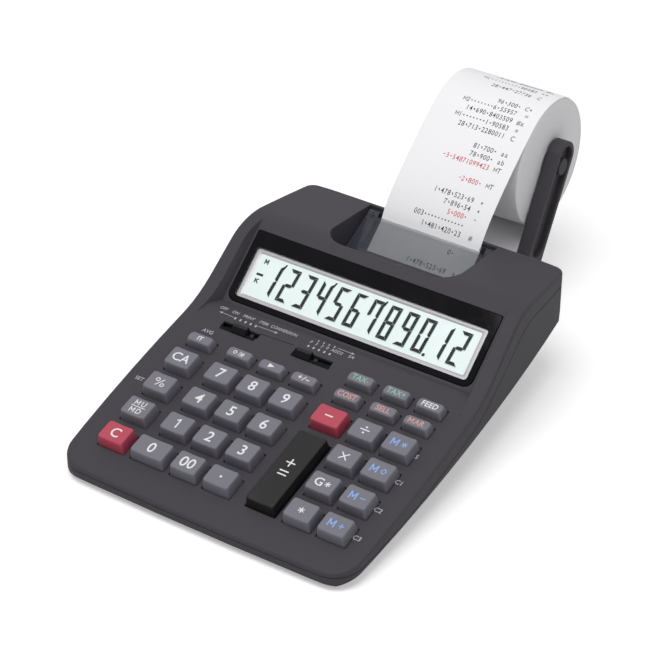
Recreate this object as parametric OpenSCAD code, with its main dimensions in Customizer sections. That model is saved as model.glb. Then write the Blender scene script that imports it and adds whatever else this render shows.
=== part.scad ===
// Printing desk calculator with a wedge case, 36 sprung keys, a sloping display,
// a two-switch panel, a small line printer and a paper roll carried on a folding holder.
// Millimetres, +Z up, front towards -Y. The origin is on the table at the centre of the case.
// Inside the case modules Y counts from the front edge; place() moves them to the origin.

/* [Case] */
// Width of the case at its widest
case_w = 165; // [150:1:185]
// Length of the case from the front edge to the rear edge
case_len = 206; // [200:1:216]
// Radius of the bowed sides
side_bow_r = 1060; // [800:10:1600]
// Distance from the front edge to the widest place
widest_d = 71.5; // [60:0.5:85]
// Radius of the bowed front edge
front_bow_r = 2300; // [1500:50:4000]
// Corner radius at the front
front_corner_r = 14; // [8:0.5:18]
// Corner radius at the rear
rear_corner_r = 6; // [3:0.5:10]
// Wall of the upper case
wall = 2; // [1.6:0.1:2.4]
// Wall of the lower case
base_wall = 1.6; // [1.2:0.1:1.8]
// Gap between the two case halves
part_gap = 0.3; // [0.2:0.05:0.5]

/* [Top profile] */
// Height of the deck at the front edge
front_edge_z = 9; // [8:0.1:12]
// Tilt of the key deck
deck_angle = 13; // [11:0.5:14]
// Distance from the front edge to the bend below the display
bend_d = 116.2; // [114:0.2:118]
// Tilt of the side cheeks beside the display
cheek_angle = 37.5; // [35:0.5:39]
// Distance from the front edge to the crest
crest_d = 153.5; // [152:0.5:155]
// Fall of the rear deck
rear_fall = 6.3; // [4:0.1:8]
// Radius of the bend below the display
bend_r = 64; // [40:1:70]
// Radius of the crest
crest_r = 34; // [20:1:36]

/* [Base] */
// Height of the rim at the front
rim_z = 4; // [3.6:0.1:5]
// Tilt of the underside
under_angle = 8.2; // [7:0.1:9]
// Depth of the chamfer below the rim
under_chamfer_z = 2.4; // [1.5:0.1:2.8]
// Inset of the underside behind the chamfer
under_chamfer_in = 9; // [5:0.5:12]
// Width of the battery and printer bay below the case
bay_w = 118; // [116:1:124]
// Front of the bay from the front edge
bay_front_d = 98; // [90:1:100]
// Distance from the rear of the bay to the rear edge
bay_rear_gap = 9; // [7:0.5:12]
// Height of the bay's underside above the table
bay_z = 2.5; // [2:0.1:3]
// Diameter of a rubber foot
foot_dia = 11; // [8:0.5:13]

/* [Keys] */
// Pitch of the number columns
col_pitch = 18.5; // [17.5:0.1:19]
// Pitch of the key rows
row_pitch = 17.8; // [17:0.1:18.2]
// Distance from the front edge to the first row, along the deck
first_row_s = 23.25; // [22:0.05:24]
// Offset of the number columns' centre column
number_x = -18.5; // [-20:0.1:-17.5]
// Gap from the number columns to the left function column
left_step = 23; // [22:0.1:24]
// Centre of the add and subtract column
add_x = 24.3; // [23.5:0.1:25]
// Centre of the divide and multiply column
operator_x = 44; // [43.5:0.1:44.5]
// Centre of the memory column
memory_x = 62.3; // [61.5:0.1:62.5]
// Width of a key's top face
key_top_w = 12.9; // [12:0.1:13.5]
// Depth of a key's top face
key_top_l = 9.7; // [9:0.1:10.5]
// Width of the zero key's top face
zero_top_w = 17; // [16:0.1:17.5]
// Width of the add and subtract keys' top faces
add_top_w = 14; // [13:0.1:14.5]
// Length of the add key's top face
add_top_l = 44.6; // [43:0.1:45]
// Width of a small key's top face
small_top_w = 12.2; // [11.5:0.1:12.5]
// Depth of a small key's top face
small_top_l = 4.6; // [4:0.1:5]
// Distance from the first row to the lower small row
small_row_s = 68.9; // [68.5:0.1:69.5]
// Distance from the first row to the upper small row
upper_row_s = 80.7; // [80.2:0.1:81.5]
// Height of the keys above the deck
key_h = 6; // [5:0.1:6.5]
// Height of the small keys above the deck
small_key_h = 4.6; // [4:0.1:5]
// Flare of a key from its top to its foot, each side
key_flare = 1; // [0.6:0.1:1.2]
// Gap round a key in its hole
key_gap = 0.4; // [0.3:0.05:0.5]
// Travel of a key
key_travel = 1.8; // [1.2:0.1:2]
// Width of the flange that holds a key in, each side
key_flange = 0.8; // [0.6:0.1:1]
// Thickness of that flange
key_flange_t = 0.8; // [0.6:0.1:1]

/* [Display] */
// Distance from the bend to the foot of the lens
lens_step = 7; // [6.4:0.1:7.6]
// Tilt of the lens
lens_angle = 39.3; // [38.5:0.1:40]
// Cheek beside the lens, both sides together
lens_side = 25.4; // [24:0.1:35]
// Thickness of the lens
lens_t = 2; // [1.6:0.1:2.2]
// Radius of the lens's lower corners
lens_corner_r = 5; // [2:0.5:8]
// Black border beside the display frame, both sides together
lcd_side = 6.8; // [6:0.1:12]
// Black border above and below the display frame together
lcd_border = 11.3; // [9:0.1:13]
// Sideways place of the display frame
lcd_x = -1.8; // [-2.5:0.1:1]
// Distance from the foot of the lens to the display frame
lcd_s = 3.6; // [2:0.1:4]
// Thickness of the display module
lcd_t = 3.6; // [3:0.1:4]

/* [Switches] */
// Distance from the first row to the switch slots
switch_s = 85.6; // [84:0.1:87]
// Length of a switch slot
slot_len = 21.5; // [20:0.1:23]
// Width of a switch slot
slot_w = 3.4; // [3:0.1:4]
// Centre of the power slot
power_x = -48.7; // [-50:0.1:-47]
// Centre of the rounding slot
rounding_x = -6.7; // [-8:0.1:-5]
// Length of a switch knob
knob_len = 8.4; // [7:0.1:9]

/* [Printer] */
// Width of the recess over the printer
bowl_w = 74; // [72:0.5:76]
// Distance from the crest to the front of the recess
bowl_step = 5.3; // [4.8:0.1:6.5]
// Radius of the recess's front corners
bowl_corner_r = 12; // [6:0.5:14]
// Gap between the printer window and the sides of the recess
cover_side = 0.6; // [0.4:0.1:1]
// Slope of the window down towards the front
cover_slope = 26; // [22:0.5:28]
// Distance from the window's rear edge to the rear edge of the case
cover_rear_gap = 6.3; // [6:0.1:7]
// Depth of the window's rear edge below the rear deck
cover_sink = 3.1; // [2.6:0.1:4]
// Length of the window
cover_len = 32.5; // [30:0.5:33]
// Thickness of the window
cover_t = 1.6; // [1.2:0.1:1.8]
// Width of the paper
paper_w = 57; // [56:0.5:57.5]
// Thickness that stands for the paper
paper_t = 0.3; // [0.2:0.05:0.4]
// Radius of the platen
platen_r = 6.5; // [6:0.1:6.6]
// Radius of the type drum
drum_r = 5.9; // [5.5:0.1:6]
// Distance from the platen to the rear edge of the case
platen_gap = 24.8; // [24:0.1:25.5]
// Height of the platen and the drum
platen_z = 28.5; // [28:0.1:29]
// Radius of the printer shafts
shaft_r = 2; // [1.5:0.1:2.2]
// Radial clearance of a running shaft
run_gap = 0.06; // [0.03:0.01:0.1]
// Number of teeth on each feed gear
gear_teeth = 16; // [12:1:20]

/* [Paper roll] */
// Radius of the paper roll
roll_r = 34; // [24:0.5:35]
// Radius of the hole through the roll
core_r = 6; // [5:0.1:6.5]
// Distance from the rear edge of the case to the roll
roll_gap_d = 64; // [60:0.5:66]
// Height of the roll's centre above the table
roll_z = 72; // [70:0.5:80]
// Gap beside the roll
roll_gap = 0.5; // [0.3:0.1:1]
// Width of an arm across the case
arm_t = 7.5; // [6:0.5:12]
// Width of an arm seen from the side
arm_w = 17; // [14:0.5:18]
// Distance from the rear edge of the case to the holder's hinge
hinge_gap_d = 4; // [2:0.5:6]
// Height of the holder's hinge
hinge_z = 12; // [11:0.5:13]
// Radius of the hinge bar
hinge_r = 3.5; // [3:0.1:4]

/* [Batteries] */
// Diameter of a cell
cell_dia = 14.2; // [14:0.1:14.5]
// Length of a cell
cell_len = 50; // [49:0.5:50.5]
// Thickness of the battery door
door_t = 1.6; // [1.4:0.1:2]

/* [Hidden] */
$fn = 64;

// Colours
case_tone = [0.21, 0.20, 0.22];
key_tone = [0.42, 0.43, 0.47];
red_tone = [0.75, 0.08, 0.15];
black_tone = [0.05, 0.05, 0.06];
paper_tone = [0.95, 0.95, 0.94];
metal_tone = [0.7, 0.7, 0.68];

// Columns and rows of the keyboard
col1_x = number_x - col_pitch;
col3_x = number_x + col_pitch;
left_x = col1_x - left_step;
zero_x = col1_x + (key_top_w - zero_top_w) / 2;
small_x = [left_x, col1_x, number_x, col3_x];
function row_s(r) = first_row_s + r * row_pitch;
low_small_s = first_row_s + small_row_s;
top_small_s = first_row_s + upper_row_s;
add_s = first_row_s + row_pitch;

// One line for each key: node, centre, distance along the deck, top width, top depth, kind
KEYS = [
    ["key_clear", left_x, row_s(0), key_top_w, key_top_l, "red"],
    ["key_markup", left_x, row_s(1), key_top_w, key_top_l, "grey"],
    ["key_percent", left_x, row_s(2), key_top_w, key_top_l, "grey"],
    ["key_recall", left_x, row_s(3), key_top_w, key_top_l, "grey"],
    ["key_item", left_x, low_small_s, small_top_w, small_top_l, "small"],
    ["key_0", zero_x, row_s(0), zero_top_w, key_top_l, "grey"],
    ["key_00", number_x, row_s(0), key_top_w, key_top_l, "grey"],
    ["key_point", col3_x, row_s(0), key_top_w, key_top_l, "grey"],
    ["key_1", col1_x, row_s(1), key_top_w, key_top_l, "grey"],
    ["key_2", number_x, row_s(1), key_top_w, key_top_l, "grey"],
    ["key_3", col3_x, row_s(1), key_top_w, key_top_l, "grey"],
    ["key_4", col1_x, row_s(2), key_top_w, key_top_l, "grey"],
    ["key_5", number_x, row_s(2), key_top_w, key_top_l, "grey"],
    ["key_6", col3_x, row_s(2), key_top_w, key_top_l, "grey"],
    ["key_7", col1_x, row_s(3), key_top_w, key_top_l, "grey"],
    ["key_8", number_x, row_s(3), key_top_w, key_top_l, "grey"],
    ["key_9", col3_x, row_s(3), key_top_w, key_top_l, "grey"],
    ["key_nonadd", col1_x, low_small_s, small_top_w, small_top_l, "small"],
    ["key_backspace", number_x, low_small_s, small_top_w, small_top_l, "small"],
    ["key_sign", col3_x, low_small_s, small_top_w, small_top_l, "small"],
    ["key_add", add_x, add_s, add_top_w, add_top_l, "black"],
    ["key_subtract", add_x, row_s(3), add_top_w, key_top_l, "red"],
    ["key_total", operator_x, row_s(0), key_top_w, key_top_l, "grey"],
    ["key_grand_total", operator_x, row_s(1), key_top_w, key_top_l, "grey"],
    ["key_multiply", operator_x, row_s(2), key_top_w, key_top_l, "grey"],
    ["key_divide", operator_x, row_s(3), key_top_w, key_top_l, "grey"],
    ["key_memory_plus", memory_x, row_s(0), key_top_w, key_top_l, "grey"],
    ["key_memory_minus", memory_x, row_s(1), key_top_w, key_top_l, "grey"],
    ["key_memory_subtotal", memory_x, row_s(2), key_top_w, key_top_l, "grey"],
    ["key_memory_total", memory_x, row_s(3), key_top_w, key_top_l, "grey"],
    ["key_cost", add_x, low_small_s, small_top_w, small_top_l, "small"],
    ["key_sell", operator_x, low_small_s, small_top_w, small_top_l, "small"],
    ["key_margin", memory_x, low_small_s, small_top_w, small_top_l, "small"],
    ["key_tax_minus", add_x, top_small_s, small_top_w, small_top_l, "small"],
    ["key_tax_plus", operator_x, top_small_s, small_top_w, small_top_l, "small"],
    ["key_feed", memory_x, top_small_s, small_top_w, small_top_l, "small"]];

// Stack under the deck, measured down from its surface
flange_gap = 0.2;
mat_t = 0.6;
board_t = 1;
mat_n = wall + flange_gap + key_flange_t + key_travel + 0.2;
board_n = mat_n + mat_t;
board_margin = 9;
board_front_s = first_row_s - key_top_l / 2 - 3;
board_rear_s = first_row_s + switch_s + 4;
small_rows_s = first_row_s + upper_row_s - small_top_l;
board_w = memory_x + key_top_w / 2 - left_x + key_top_w / 2 + board_margin;
board_x = (memory_x + left_x) / 2;

// Where the crest, the rear edge and the underside lie
bend_z = front_edge_z + bend_d * tan(deck_angle);
crest_z = bend_z + (crest_d - bend_d) * tan(cheek_angle);
function rear_deck(d) = crest_z - (d - crest_d) * tan(rear_fall);
rear_z = rear_deck(case_len);
under_z = rim_z - under_chamfer_z;
lens_d = bend_d + lens_step;
lens_z = bend_z - 0.83;
lens_w = case_w - lens_side;
lens_len = crest_d - bend_d + 1.1;
lcd_w = lens_w - lcd_side;
lcd_len = lens_len - lcd_border;
bay_rear_d = case_len - bay_rear_gap;
platen_d = case_len - platen_gap;
roll_d = case_len + roll_gap_d;
hinge_d = case_len + hinge_gap_d;
big = 400;
half = 2;

// Battery bay and its door
door_w = 98;
door_front_d = bay_front_d + 0.4;
door_len = 34.4;
door_gap = 0.3;
tongue_w = 1.4;
tongue_z = 1;
cell_row1_d = bay_front_d + 12.5;
cell_row_step = cell_dia + 1;
cell_z = bay_z + door_t + 0.5 + cell_dia / 2;
contact_t = 0.6;
contact_gap = 0.3;

// Printer
drum_d = platen_d - platen_r - drum_r - paper_t - 0.3;
gear_r = (platen_d - drum_d) / 2;
frame_t = 2;
frame_x = paper_w / 2 + 3;
ink_r = 3.2;
ink_shaft_r = 1.2;
frame_front_d = drum_d - 13;
frame_rear_d = platen_d + 11;
frame_foot_z = platen_z - platen_r - 6;
motor_r = 5.5;
motor_len = 24;
motor_d = platen_d - 10;
inlet_z = 17;
inlet_h = 12;

// Holder and roll
arm_x = paper_w / 2 + roll_gap;
head_pt = [roll_d + 2.5, roll_z + 4.3];
knee_pt = [hinge_d + 33, hinge_z + 13.5];
channel_h = 3;
hub_r = 4.5;
lug_t = 7;
lug_x = 18;
pin_len = 6;

module place() translate([0, -case_len / 2, 0]) children();
module across(w) rotate([90, 0, 90]) linear_extrude(w, center = true) children();
module on_deck(x, s, n) translate([x, 0, front_edge_z]) rotate([deck_angle, 0, 0])
    translate([0, s, n]) children();
module on_lens(n) translate([0, lens_d, lens_z]) rotate([lens_angle, 0, 0])
    translate([0, 0, n]) children();
module on_cover(n) translate([0, cover_rear_d, cover_z]) rotate([cover_slope, 0, 0])
    translate([0, 0, n]) children();
module along_x(x0, x1, d, z) translate([x0, d, z]) rotate([0, 90, 0])
    linear_extrude(x1 - x0) children();

// Fillets: each point of a path is [x, y, radius]
function unit(v) = v / norm(v);
function xy(p) = [p[0], p[1]];
function fillet(p, c, n, r, steps) =
    let (u = unit(p - c), v = unit(n - c), h = acos(u * v) / 2,
        o = c + unit(u + v) * r / sin(h), a = c + u * r / tan(h) - o, b = c + v * r / tan(h) - o,
        a0 = atan2(a[1], a[0]), turn = (atan2(b[1], b[0]) - a0 + 540) % 360 - 180)
    [for (i = [0:steps]) o + r * [cos(a0 + turn * i / steps), sin(a0 + turn * i / steps)]];
function smooth(pts, steps = 10) =
    [for (i = [0:len(pts) - 1])
        let (n = len(pts), c = pts[i], before = xy(pts[(i + n - 1) % n]), after = xy(pts[(i + 1) % n]))
        each (c[2] == 0 ? [xy(c)] : fillet(before, xy(c), after, c[2], steps))];

// Plan of the case, drawn in by inset
function half_width(d) = case_w / 2 - side_bow_r + sqrt(side_bow_r ^ 2 - (d - widest_d) ^ 2);
function front_bow(x) = front_bow_r - sqrt(front_bow_r ^ 2 - x ^ 2);
side_stations = [25:20:case_len - 21];
function case_plan(inset) =
    let (right = [for (d = side_stations) [half_width(d) - inset, d, 0]],
        left = [for (i = [len(right) - 1:-1:0]) [-right[i][0], right[i][1], 0]],
        front = [for (x = [-60:20:60]) [x, front_bow(x) + inset, 0]],
        fx = half_width(0) - inset, fy = front_bow(fx) + inset,
        rx = half_width(case_len) - inset, ry = case_len - inset,
        fr = max(1, front_corner_r - inset), rr = max(1, rear_corner_r - inset))
    smooth(concat(front, [[fx, fy, fr]], right, [[rx, ry, rr], [-rx, ry, rr]], left, [[-fx, fy, fr]]));

// Side view of the top surface, closed far below, lowered by drop along its normal
module top_side(drop) offset(delta = -drop) polygon(smooth([
    [-big, front_edge_z - big * tan(deck_angle), 0], [bend_d, bend_z, bend_r],
    [crest_d, crest_z, crest_r], [crest_d + big, crest_z - big * tan(rear_fall), 0],
    [crest_d + big, -big, 0], [-big, -big, 0]], 14));

// Side view of the line where the two halves part; everything below it
part_end_z = rear_z - 7.65;
part_pts = [[-big, 6.7 - big * tan(5.8), 0], [45, 11.3, 90], [bend_d - 1.5, bend_z - 8.93, 60],
    [crest_d + 6.5, crest_z - 10.05, 28], [case_len, part_end_z, 0], [big, part_end_z, 0],
    [big, -big, 0], [-big, -big, 0]];
module below_part(drop) offset(delta = -drop) polygon(smooth(part_pts));

module case_block(inset, top_drop) intersection() {
    translate([0, 0, -20]) linear_extrude(120) polygon(case_plan(inset));
    across(big) top_side(top_drop);
}

// Cap, skirt, flange and stem of one key, with its top face at key height
module wedge_side(foot, top, h) polygon([[-foot / 2, 0], [foot / 2, 0], [top / 2, h], [-top / 2, h]]);
module key_body(w, l, h) {
    foot_w = w + 2 * key_flare;
    foot_l = l + 2 * key_flare;
    intersection() {
        rotate([90, 0, 0]) linear_extrude(foot_l, center = true) wedge_side(foot_w, w, h);
        rotate([90, 0, 90]) linear_extrude(foot_w, center = true) wedge_side(foot_l, l, h);
    }
    drop = wall + flange_gap + key_flange_t;
    translate([-foot_w / 2, -foot_l / 2, -drop]) cube([foot_w, foot_l, drop]);
    translate([-foot_w / 2 - key_flange, -foot_l / 2 - key_flange, -drop])
        cube([foot_w + 2 * key_flange, foot_l + 2 * key_flange, key_flange_t]);
}
module key_hole(w, l) {
    hole_w = w + 2 * key_flare + 2 * key_gap;
    hole_l = l + 2 * key_flare + 2 * key_gap;
    translate([-hole_w / 2, -hole_l / 2, -wall - 3]) cube([hole_w, hole_l, wall + 6]);
}
function key_height(kind) = kind == "small" ? small_key_h : key_h;
function key_color(kind) = kind == "red" ? red_tone : kind == "black" ? black_tone : key_tone;
module key(name) for (k = KEYS) if (k[0] == name)
    color(key_color(k[5])) place() on_deck(k[1], k[2], 0) key_body(k[3], k[4], key_height(k[5]));

// Display: the dish round the lens and the pocket for it
dish_wall = 0.4;
dish_foot_d = 114.4;
dish_w = lens_w + 2.4;
dish_top_w = lens_w + 11;
dish_h = 9;
module dish() {
    dish_foot_z = front_edge_z + dish_foot_d * tan(deck_angle);
    floor_start = 104;
    reach = 70;
    intersection() {
        across(big) polygon([[floor_start, front_edge_z + floor_start * tan(deck_angle)],
            [dish_foot_d, dish_foot_z], [lens_d - 1, lens_z - 1.2],
            [lens_d + reach * cos(lens_angle), lens_z - dish_wall + reach * sin(lens_angle)],
            [floor_start, lens_z + reach * sin(lens_angle)]]);
        on_lens(0) rotate([90, 0, 0]) linear_extrude(big, center = true)
            polygon([[-dish_w / 2, -10], [dish_w / 2, -10], [dish_w / 2, 0], [dish_top_w / 2, dish_h],
                [dish_top_w / 2, 60], [-dish_top_w / 2, 60], [-dish_top_w / 2, dish_h],
                [-dish_w / 2, 0]]);
    }
}
module lens_shape(gap) polygon(smooth([
    [-lens_w / 2 - gap, -gap, lens_corner_r], [lens_w / 2 + gap, -gap, lens_corner_r],
    [lens_w / 2 + gap, lens_len + gap, 1], [-lens_w / 2 - gap, lens_len + gap, 1]], 6));
module lens_pocket() {
    fit = 0.15;
    on_lens(-lens_t) linear_extrude(lens_t + 10) lens_shape(fit);
    window_in = 1.6;
    on_lens(-12) translate([lcd_x - lcd_w / 2 + window_in, lcd_s + window_in, 0])
        cube([lcd_w - 2 * window_in, lcd_len - 2 * window_in, 14]);
}
module dish_back() intersection() {
    case_block(0, 0);
    union() {
        on_lens(-lens_t - 1.6) translate([-lens_w / 2 - 6, -12, 0]) cube([lens_w + 12, 62, 30]);
        on_deck(0, 0, -wall) translate([-lens_w / 2 - 6, 96, 0]) cube([lens_w + 12, 24, 30]);
    }
    across(big) polygon([[90, 0], [lens_d + 3, 0], [lens_d + 34, 30], [lens_d + 42, 80], [90, 80]]);
}

// Recess over the printer: a bowl whose floor rises to the rear, with the window lying on it
cover_rear_d = case_len - cover_rear_gap;
cover_z = rear_deck(cover_rear_d) - cover_sink;
cover_seat = 0.2;
well_wall = 3;
bowl_wall = 1.6;
bowl_front_d = crest_d + bowl_step;
rear_strip = 2;
bowl_rear_d = case_len - rear_strip;
cover_w = bowl_w - 2 * cover_side;
hinge_socket = 2;
hinge_pin_l = 1.6;
hinge_pin_r = 1.2;
hinge_pin_in = 1.4;
throat_w = 62;
throat_front_d = cover_rear_d - 16.2;
// Height of the bowl's floor, just under the window
function bowl_floor(d) = cover_z + (d - cover_rear_d) * tan(cover_slope)
    - (cover_t + cover_seat) / cos(cover_slope);
function cover_front_at() = cover_rear_d - cover_len * cos(cover_slope);
trough_front_d = cover_front_at() - 2.2;
trough_rear_d = cover_front_at() + 3.3;
trough_z = bowl_floor(trough_rear_d) - 3;
module bowl_plan(gap) polygon(smooth([
    [-bowl_w / 2 - gap, bowl_front_d - gap, bowl_corner_r],
    [bowl_w / 2 + gap, bowl_front_d - gap, bowl_corner_r],
    [bowl_w / 2 + gap, bowl_rear_d + gap, 0], [-bowl_w / 2 - gap, bowl_rear_d + gap, 0]], 8));
module bowl_side(drop) offset(delta = drop) polygon([
    [bowl_front_d, big], [bowl_front_d, rear_deck(bowl_front_d) - 3], [trough_front_d, trough_z],
    [trough_rear_d, trough_z], [trough_rear_d, bowl_floor(trough_rear_d)],
    [bowl_rear_d, bowl_floor(bowl_rear_d)], [bowl_rear_d, big]]);
module bowl(gap, drop) intersection() {
    linear_extrude(120) bowl_plan(gap);
    across(big) bowl_side(drop);
}
module well_cut() {
    bowl(0, 0);
    translate([-throat_w / 2, throat_front_d, 20])
        cube([throat_w, bowl_rear_d - throat_front_d, cover_z - 20]);
}
module well_block() intersection() {
    case_block(0, 0);
    bowl(well_wall, bowl_wall);
}

// Screws that hold the halves together: [x, distance from the front, seat of the head, top]
front_screw_x = case_w / 2 - 14.5;
rear_screw_x = case_w / 2 - 18.5;
rear_screw_d = case_len - 16;
screw_spots = [[-front_screw_x, 10, under_at(10) + 1, deck_at(10) - 1.6],
    [front_screw_x, 10, under_at(10) + 1, deck_at(10) - 1.6],
    [-rear_screw_x, rear_screw_d, rear_z - 16.65, rear_z - 2.65],
    [rear_screw_x, rear_screw_d, rear_z - 16.65, rear_z - 2.65]];
screw_r = 1.3;
screw_head_r = 2.6;
screw_head_h = 1.6;
boss_r = 4;
screw_gap = 0.1;
function under_at(d) = under_z + d * tan(under_angle);
function deck_at(d) = front_edge_z + d * tan(deck_angle);

module upper_case() color(case_tone) place() {
    difference() {
        union() {
            difference() {
                union() {
                    difference() {
                        case_block(0, 0);
                        case_block(wall, wall);
                    }
                    dish_back();
                    intersection() {
                        case_block(0.5, 0.5);
                        for (p = screw_spots) translate([p[0], p[1], 0]) cylinder(r = boss_r, h = 80);
                    }
                }
                across(big) below_part(0);
            }
            well_block();
        }
        dish();
        lens_pocket();
        well_cut();
        for (k = KEYS) on_deck(k[1], k[2], 0) key_hole(k[3], k[4]);
        for (x = [power_x, rounding_x]) on_deck(x, first_row_s + switch_s, 0)
            translate([-slot_len / 2, -slot_w / 2, -wall - 2]) cube([slot_len, slot_w, wall + 6]);
        for (p = screw_spots) translate([p[0], p[1], -1])
            cylinder(r = screw_r + screw_gap, h = p[3] + 1.4);
        on_hinge() cylinder(r = hinge_pin_r + run_gap, h = bowl_w + 2 * hinge_socket, center = true);
    }
}
module on_hinge() on_cover(-cover_t / 2)
    translate([0, hinge_pin_in - cover_len, 0]) rotate([0, 90, 0]) children();

// Lower case: tray following the sloping underside, and the bay that stands on the table
module under_side(lift) polygon([[-big, under_at(-big) + lift], [big, under_at(big) + lift],
    [big, big], [-big, big]]);
module rear_slope(inset) polygon([[-big, -big], [case_len - 7 - inset, -big],
    [case_len - 7 - inset, 22], [case_len - inset, 51], [case_len - inset, 90], [-big, 90]]);
module tray_section(inset, lift) {
    w = case_w / 2 - inset;
    flat = w - under_chamfer_in;
    polygon([[-flat, lift], [flat, lift], [w, under_chamfer_z + lift], [w, big], [-w, big],
        [-w, under_chamfer_z + lift]]);
}
module tray(inset, lift, drop) intersection() {
    translate([0, 0, -20]) linear_extrude(120) polygon(case_plan(inset));
    across(big) under_side(lift);
    across(big) rear_slope(inset);
    translate([0, 0, under_z]) rotate([under_angle, 0, 0]) rotate([90, 0, 0])
        linear_extrude(2 * big, center = true) tray_section(inset, lift);
    across(big) polygon([[-inset * 0, -10], [big, -10], [big, big], [inset, big],
        [inset, rim_z - 1 + lift], [7 + inset, under_z + lift]]);
    across(big) below_part(drop);
}
bay_draft = 5;
module bay(inset, over) {
    d0 = bay_front_d + inset;
    d1 = bay_rear_d - inset;
    z0 = bay_z + inset;
    w = bay_w / 2 - inset;
    top = under_at(bay_rear_d) + over;
    intersection() {
        across(big) polygon([[d0, z0], [d1, z0], [d1, under_at(d1) + over],
            [d0 - bay_draft, under_at(d0) + over]]);
        rotate([90, 0, 0]) linear_extrude(2 * big, center = true)
            polygon([[-w, z0], [w, z0], [w + bay_draft, top], [-w - bay_draft, top]]);
    }
}
front_foot_x = case_w / 2 - 24.5;
rear_foot_x = bay_w / 2 - 13;
foot_spots = [[-front_foot_x, 20], [front_foot_x, 20], [-rear_foot_x, bay_rear_d - 9],
    [rear_foot_x, bay_rear_d - 9]];
jack_x = 28.5 - case_w / 2;
jack_z = 38;
jack_face_d = case_len - 2.9;
jack_l = 12;
jack_bore_l = 9.5;
jack_w = 9;
jack_h = 11;
module lower_case() color(case_tone) place() {
    difference() {
        union() {
            difference() {
                union() {
                    tray(0, 0, part_gap);
                    bay(0, 1);
                }
                tray(base_wall, base_wall, -20);
                bay(base_wall, 4);
            }
            // Bosses for the screws and posts under the main board
            intersection() {
                tray(0.3, 0.2, part_gap);
                union() {
                    for (p = screw_spots) translate([p[0], p[1], 0]) cylinder(r = boss_r, h = 80);
                    for (x = post_x) for (s = post_s) on_deck(x, s, -board_n - board_t - 30)
                        cylinder(r = 2.5, h = 30);
                }
            }
            for (side = [-1, 1]) hinge_lug(side);
            battery_box();
        }
        // Door opening, with a groove along each side for the door's tongues
        translate([-door_w / 2 - door_gap, door_front_d - 20, bay_z - 1])
            cube([door_w + 2 * door_gap, door_len + 20 + door_gap, base_wall + 1.4]);
        translate([-door_w / 2 - tongue_w - door_gap, door_front_d - 20, bay_z + tongue_z - 0.2])
            cube([door_w + 2 * (tongue_w + door_gap), door_len + 20 + door_gap, base_wall]);
        // Paper inlet through the rear wall
        translate([-paper_w / 2 - 1.5, bay_rear_d - 10, inlet_z]) cube([paper_w + 3, 20, inlet_h]);
        // Jack opening
        translate([jack_x - jack_w / 2 - 0.15, jack_face_d - 20, jack_z - jack_h / 2 - 0.15])
            cube([jack_w + 0.3, 40, jack_h + 0.3]);
        for (p = screw_spots) translate([p[0], p[1], -1]) {
            cylinder(r = screw_r + 0.2, h = 60);
            cylinder(r = screw_head_r + 0.2, h = p[2] + 1);
        }
        for (x = [-lug_x, lug_x]) translate([x, hinge_d, hinge_z]) rotate([0, 90, 0])
            cylinder(r = hinge_r + run_gap, h = lug_t + 2, center = true);
    }
}
post_x = [-64, 66];
post_s = [26, 62, 106];
// End walls and rear wall of the battery space
module battery_box() {
    end_x = cell_len + 0.6 + contact_gap + contact_t + 0.1;
    box_len = cell_row1_d + cell_row_step + cell_dia / 2 + 0.6 - bay_front_d;
    top = cell_z + cell_dia / 2 - bay_z;
    for (side = [0, 1]) mirror([side, 0, 0]) translate([end_x, bay_front_d + 0.8, bay_z + 0.8])
        cube([1.6, box_len + 0.8, top]);
    translate([-end_x, bay_front_d + box_len, bay_z + 0.8]) cube([2 * end_x, 1.6, top]);
}
module hinge_lug(side) translate([side * lug_x - lug_t / 2, 0, 0]) {
    lug_r = hinge_r + 2.5;
    translate([0, hinge_d, hinge_z]) rotate([0, 90, 0]) cylinder(r = lug_r, h = lug_t);
    translate([0, bay_rear_d - 0.6, hinge_z - lug_r]) cube([lug_t, hinge_d - bay_rear_d + 0.6, 2 * lug_r]);
}

module display_lens() color(black_tone) place() on_lens(-lens_t + 0.02) linear_extrude(lens_t)
    lens_shape(0);
module lcd_module() color([0.8, 0.86, 0.82]) place() on_lens(-lens_t - 1.7 - lcd_t)
    translate([lcd_x - lcd_w / 2, lcd_s, 0]) cube([lcd_w, lcd_len, lcd_t]);

module key_mat() color([0.3, 0.3, 0.32]) place() on_deck(board_x, board_front_s, -mat_n - mat_t) {
    main_l = small_rows_s - board_front_s;
    translate([-board_w / 2, 0, 0]) cube([board_w, main_l, mat_t]);
    translate([14 - board_x, 0, 0]) cube([board_w / 2 - 14 + board_x, main_l + row_pitch / 2, mat_t]);
}
module main_board() color([0.1, 0.35, 0.2]) place() {
    on_deck(board_x, board_front_s, -board_n - board_t)
        translate([-board_w / 2, 0, 0]) cube([board_w, board_rear_s - board_front_s, board_t]);
    // Two switch bodies standing on the board under the slots
    for (x = [power_x, rounding_x]) on_deck(x, first_row_s + switch_s, -board_n)
        translate([-slot_len / 2, -3, 0]) cube([slot_len, 6, board_n - wall - knob_foot_t - 0.9]);
}
knob_foot_t = 0.8;
module switch_knob(x) color([0.55, 0.56, 0.58]) place() on_deck(x, first_row_s + switch_s, 0) {
    fit = 0.3;
    translate([-knob_len / 2, -slot_w / 2 + fit, -wall - 0.4]) cube([knob_len, slot_w - 2 * fit, wall + 2.6]);
    translate([-knob_len / 2 - 2, -slot_w / 2 - 1.4, -wall - 0.3 - knob_foot_t])
        cube([knob_len + 4, slot_w + 2.8, knob_foot_t]);
}
power_start = power_x + 0.6;
rounding_start = rounding_x - 4.3;
module power_switch_knob() switch_knob(power_start);
module rounding_switch_knob() switch_knob(rounding_start);

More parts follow.
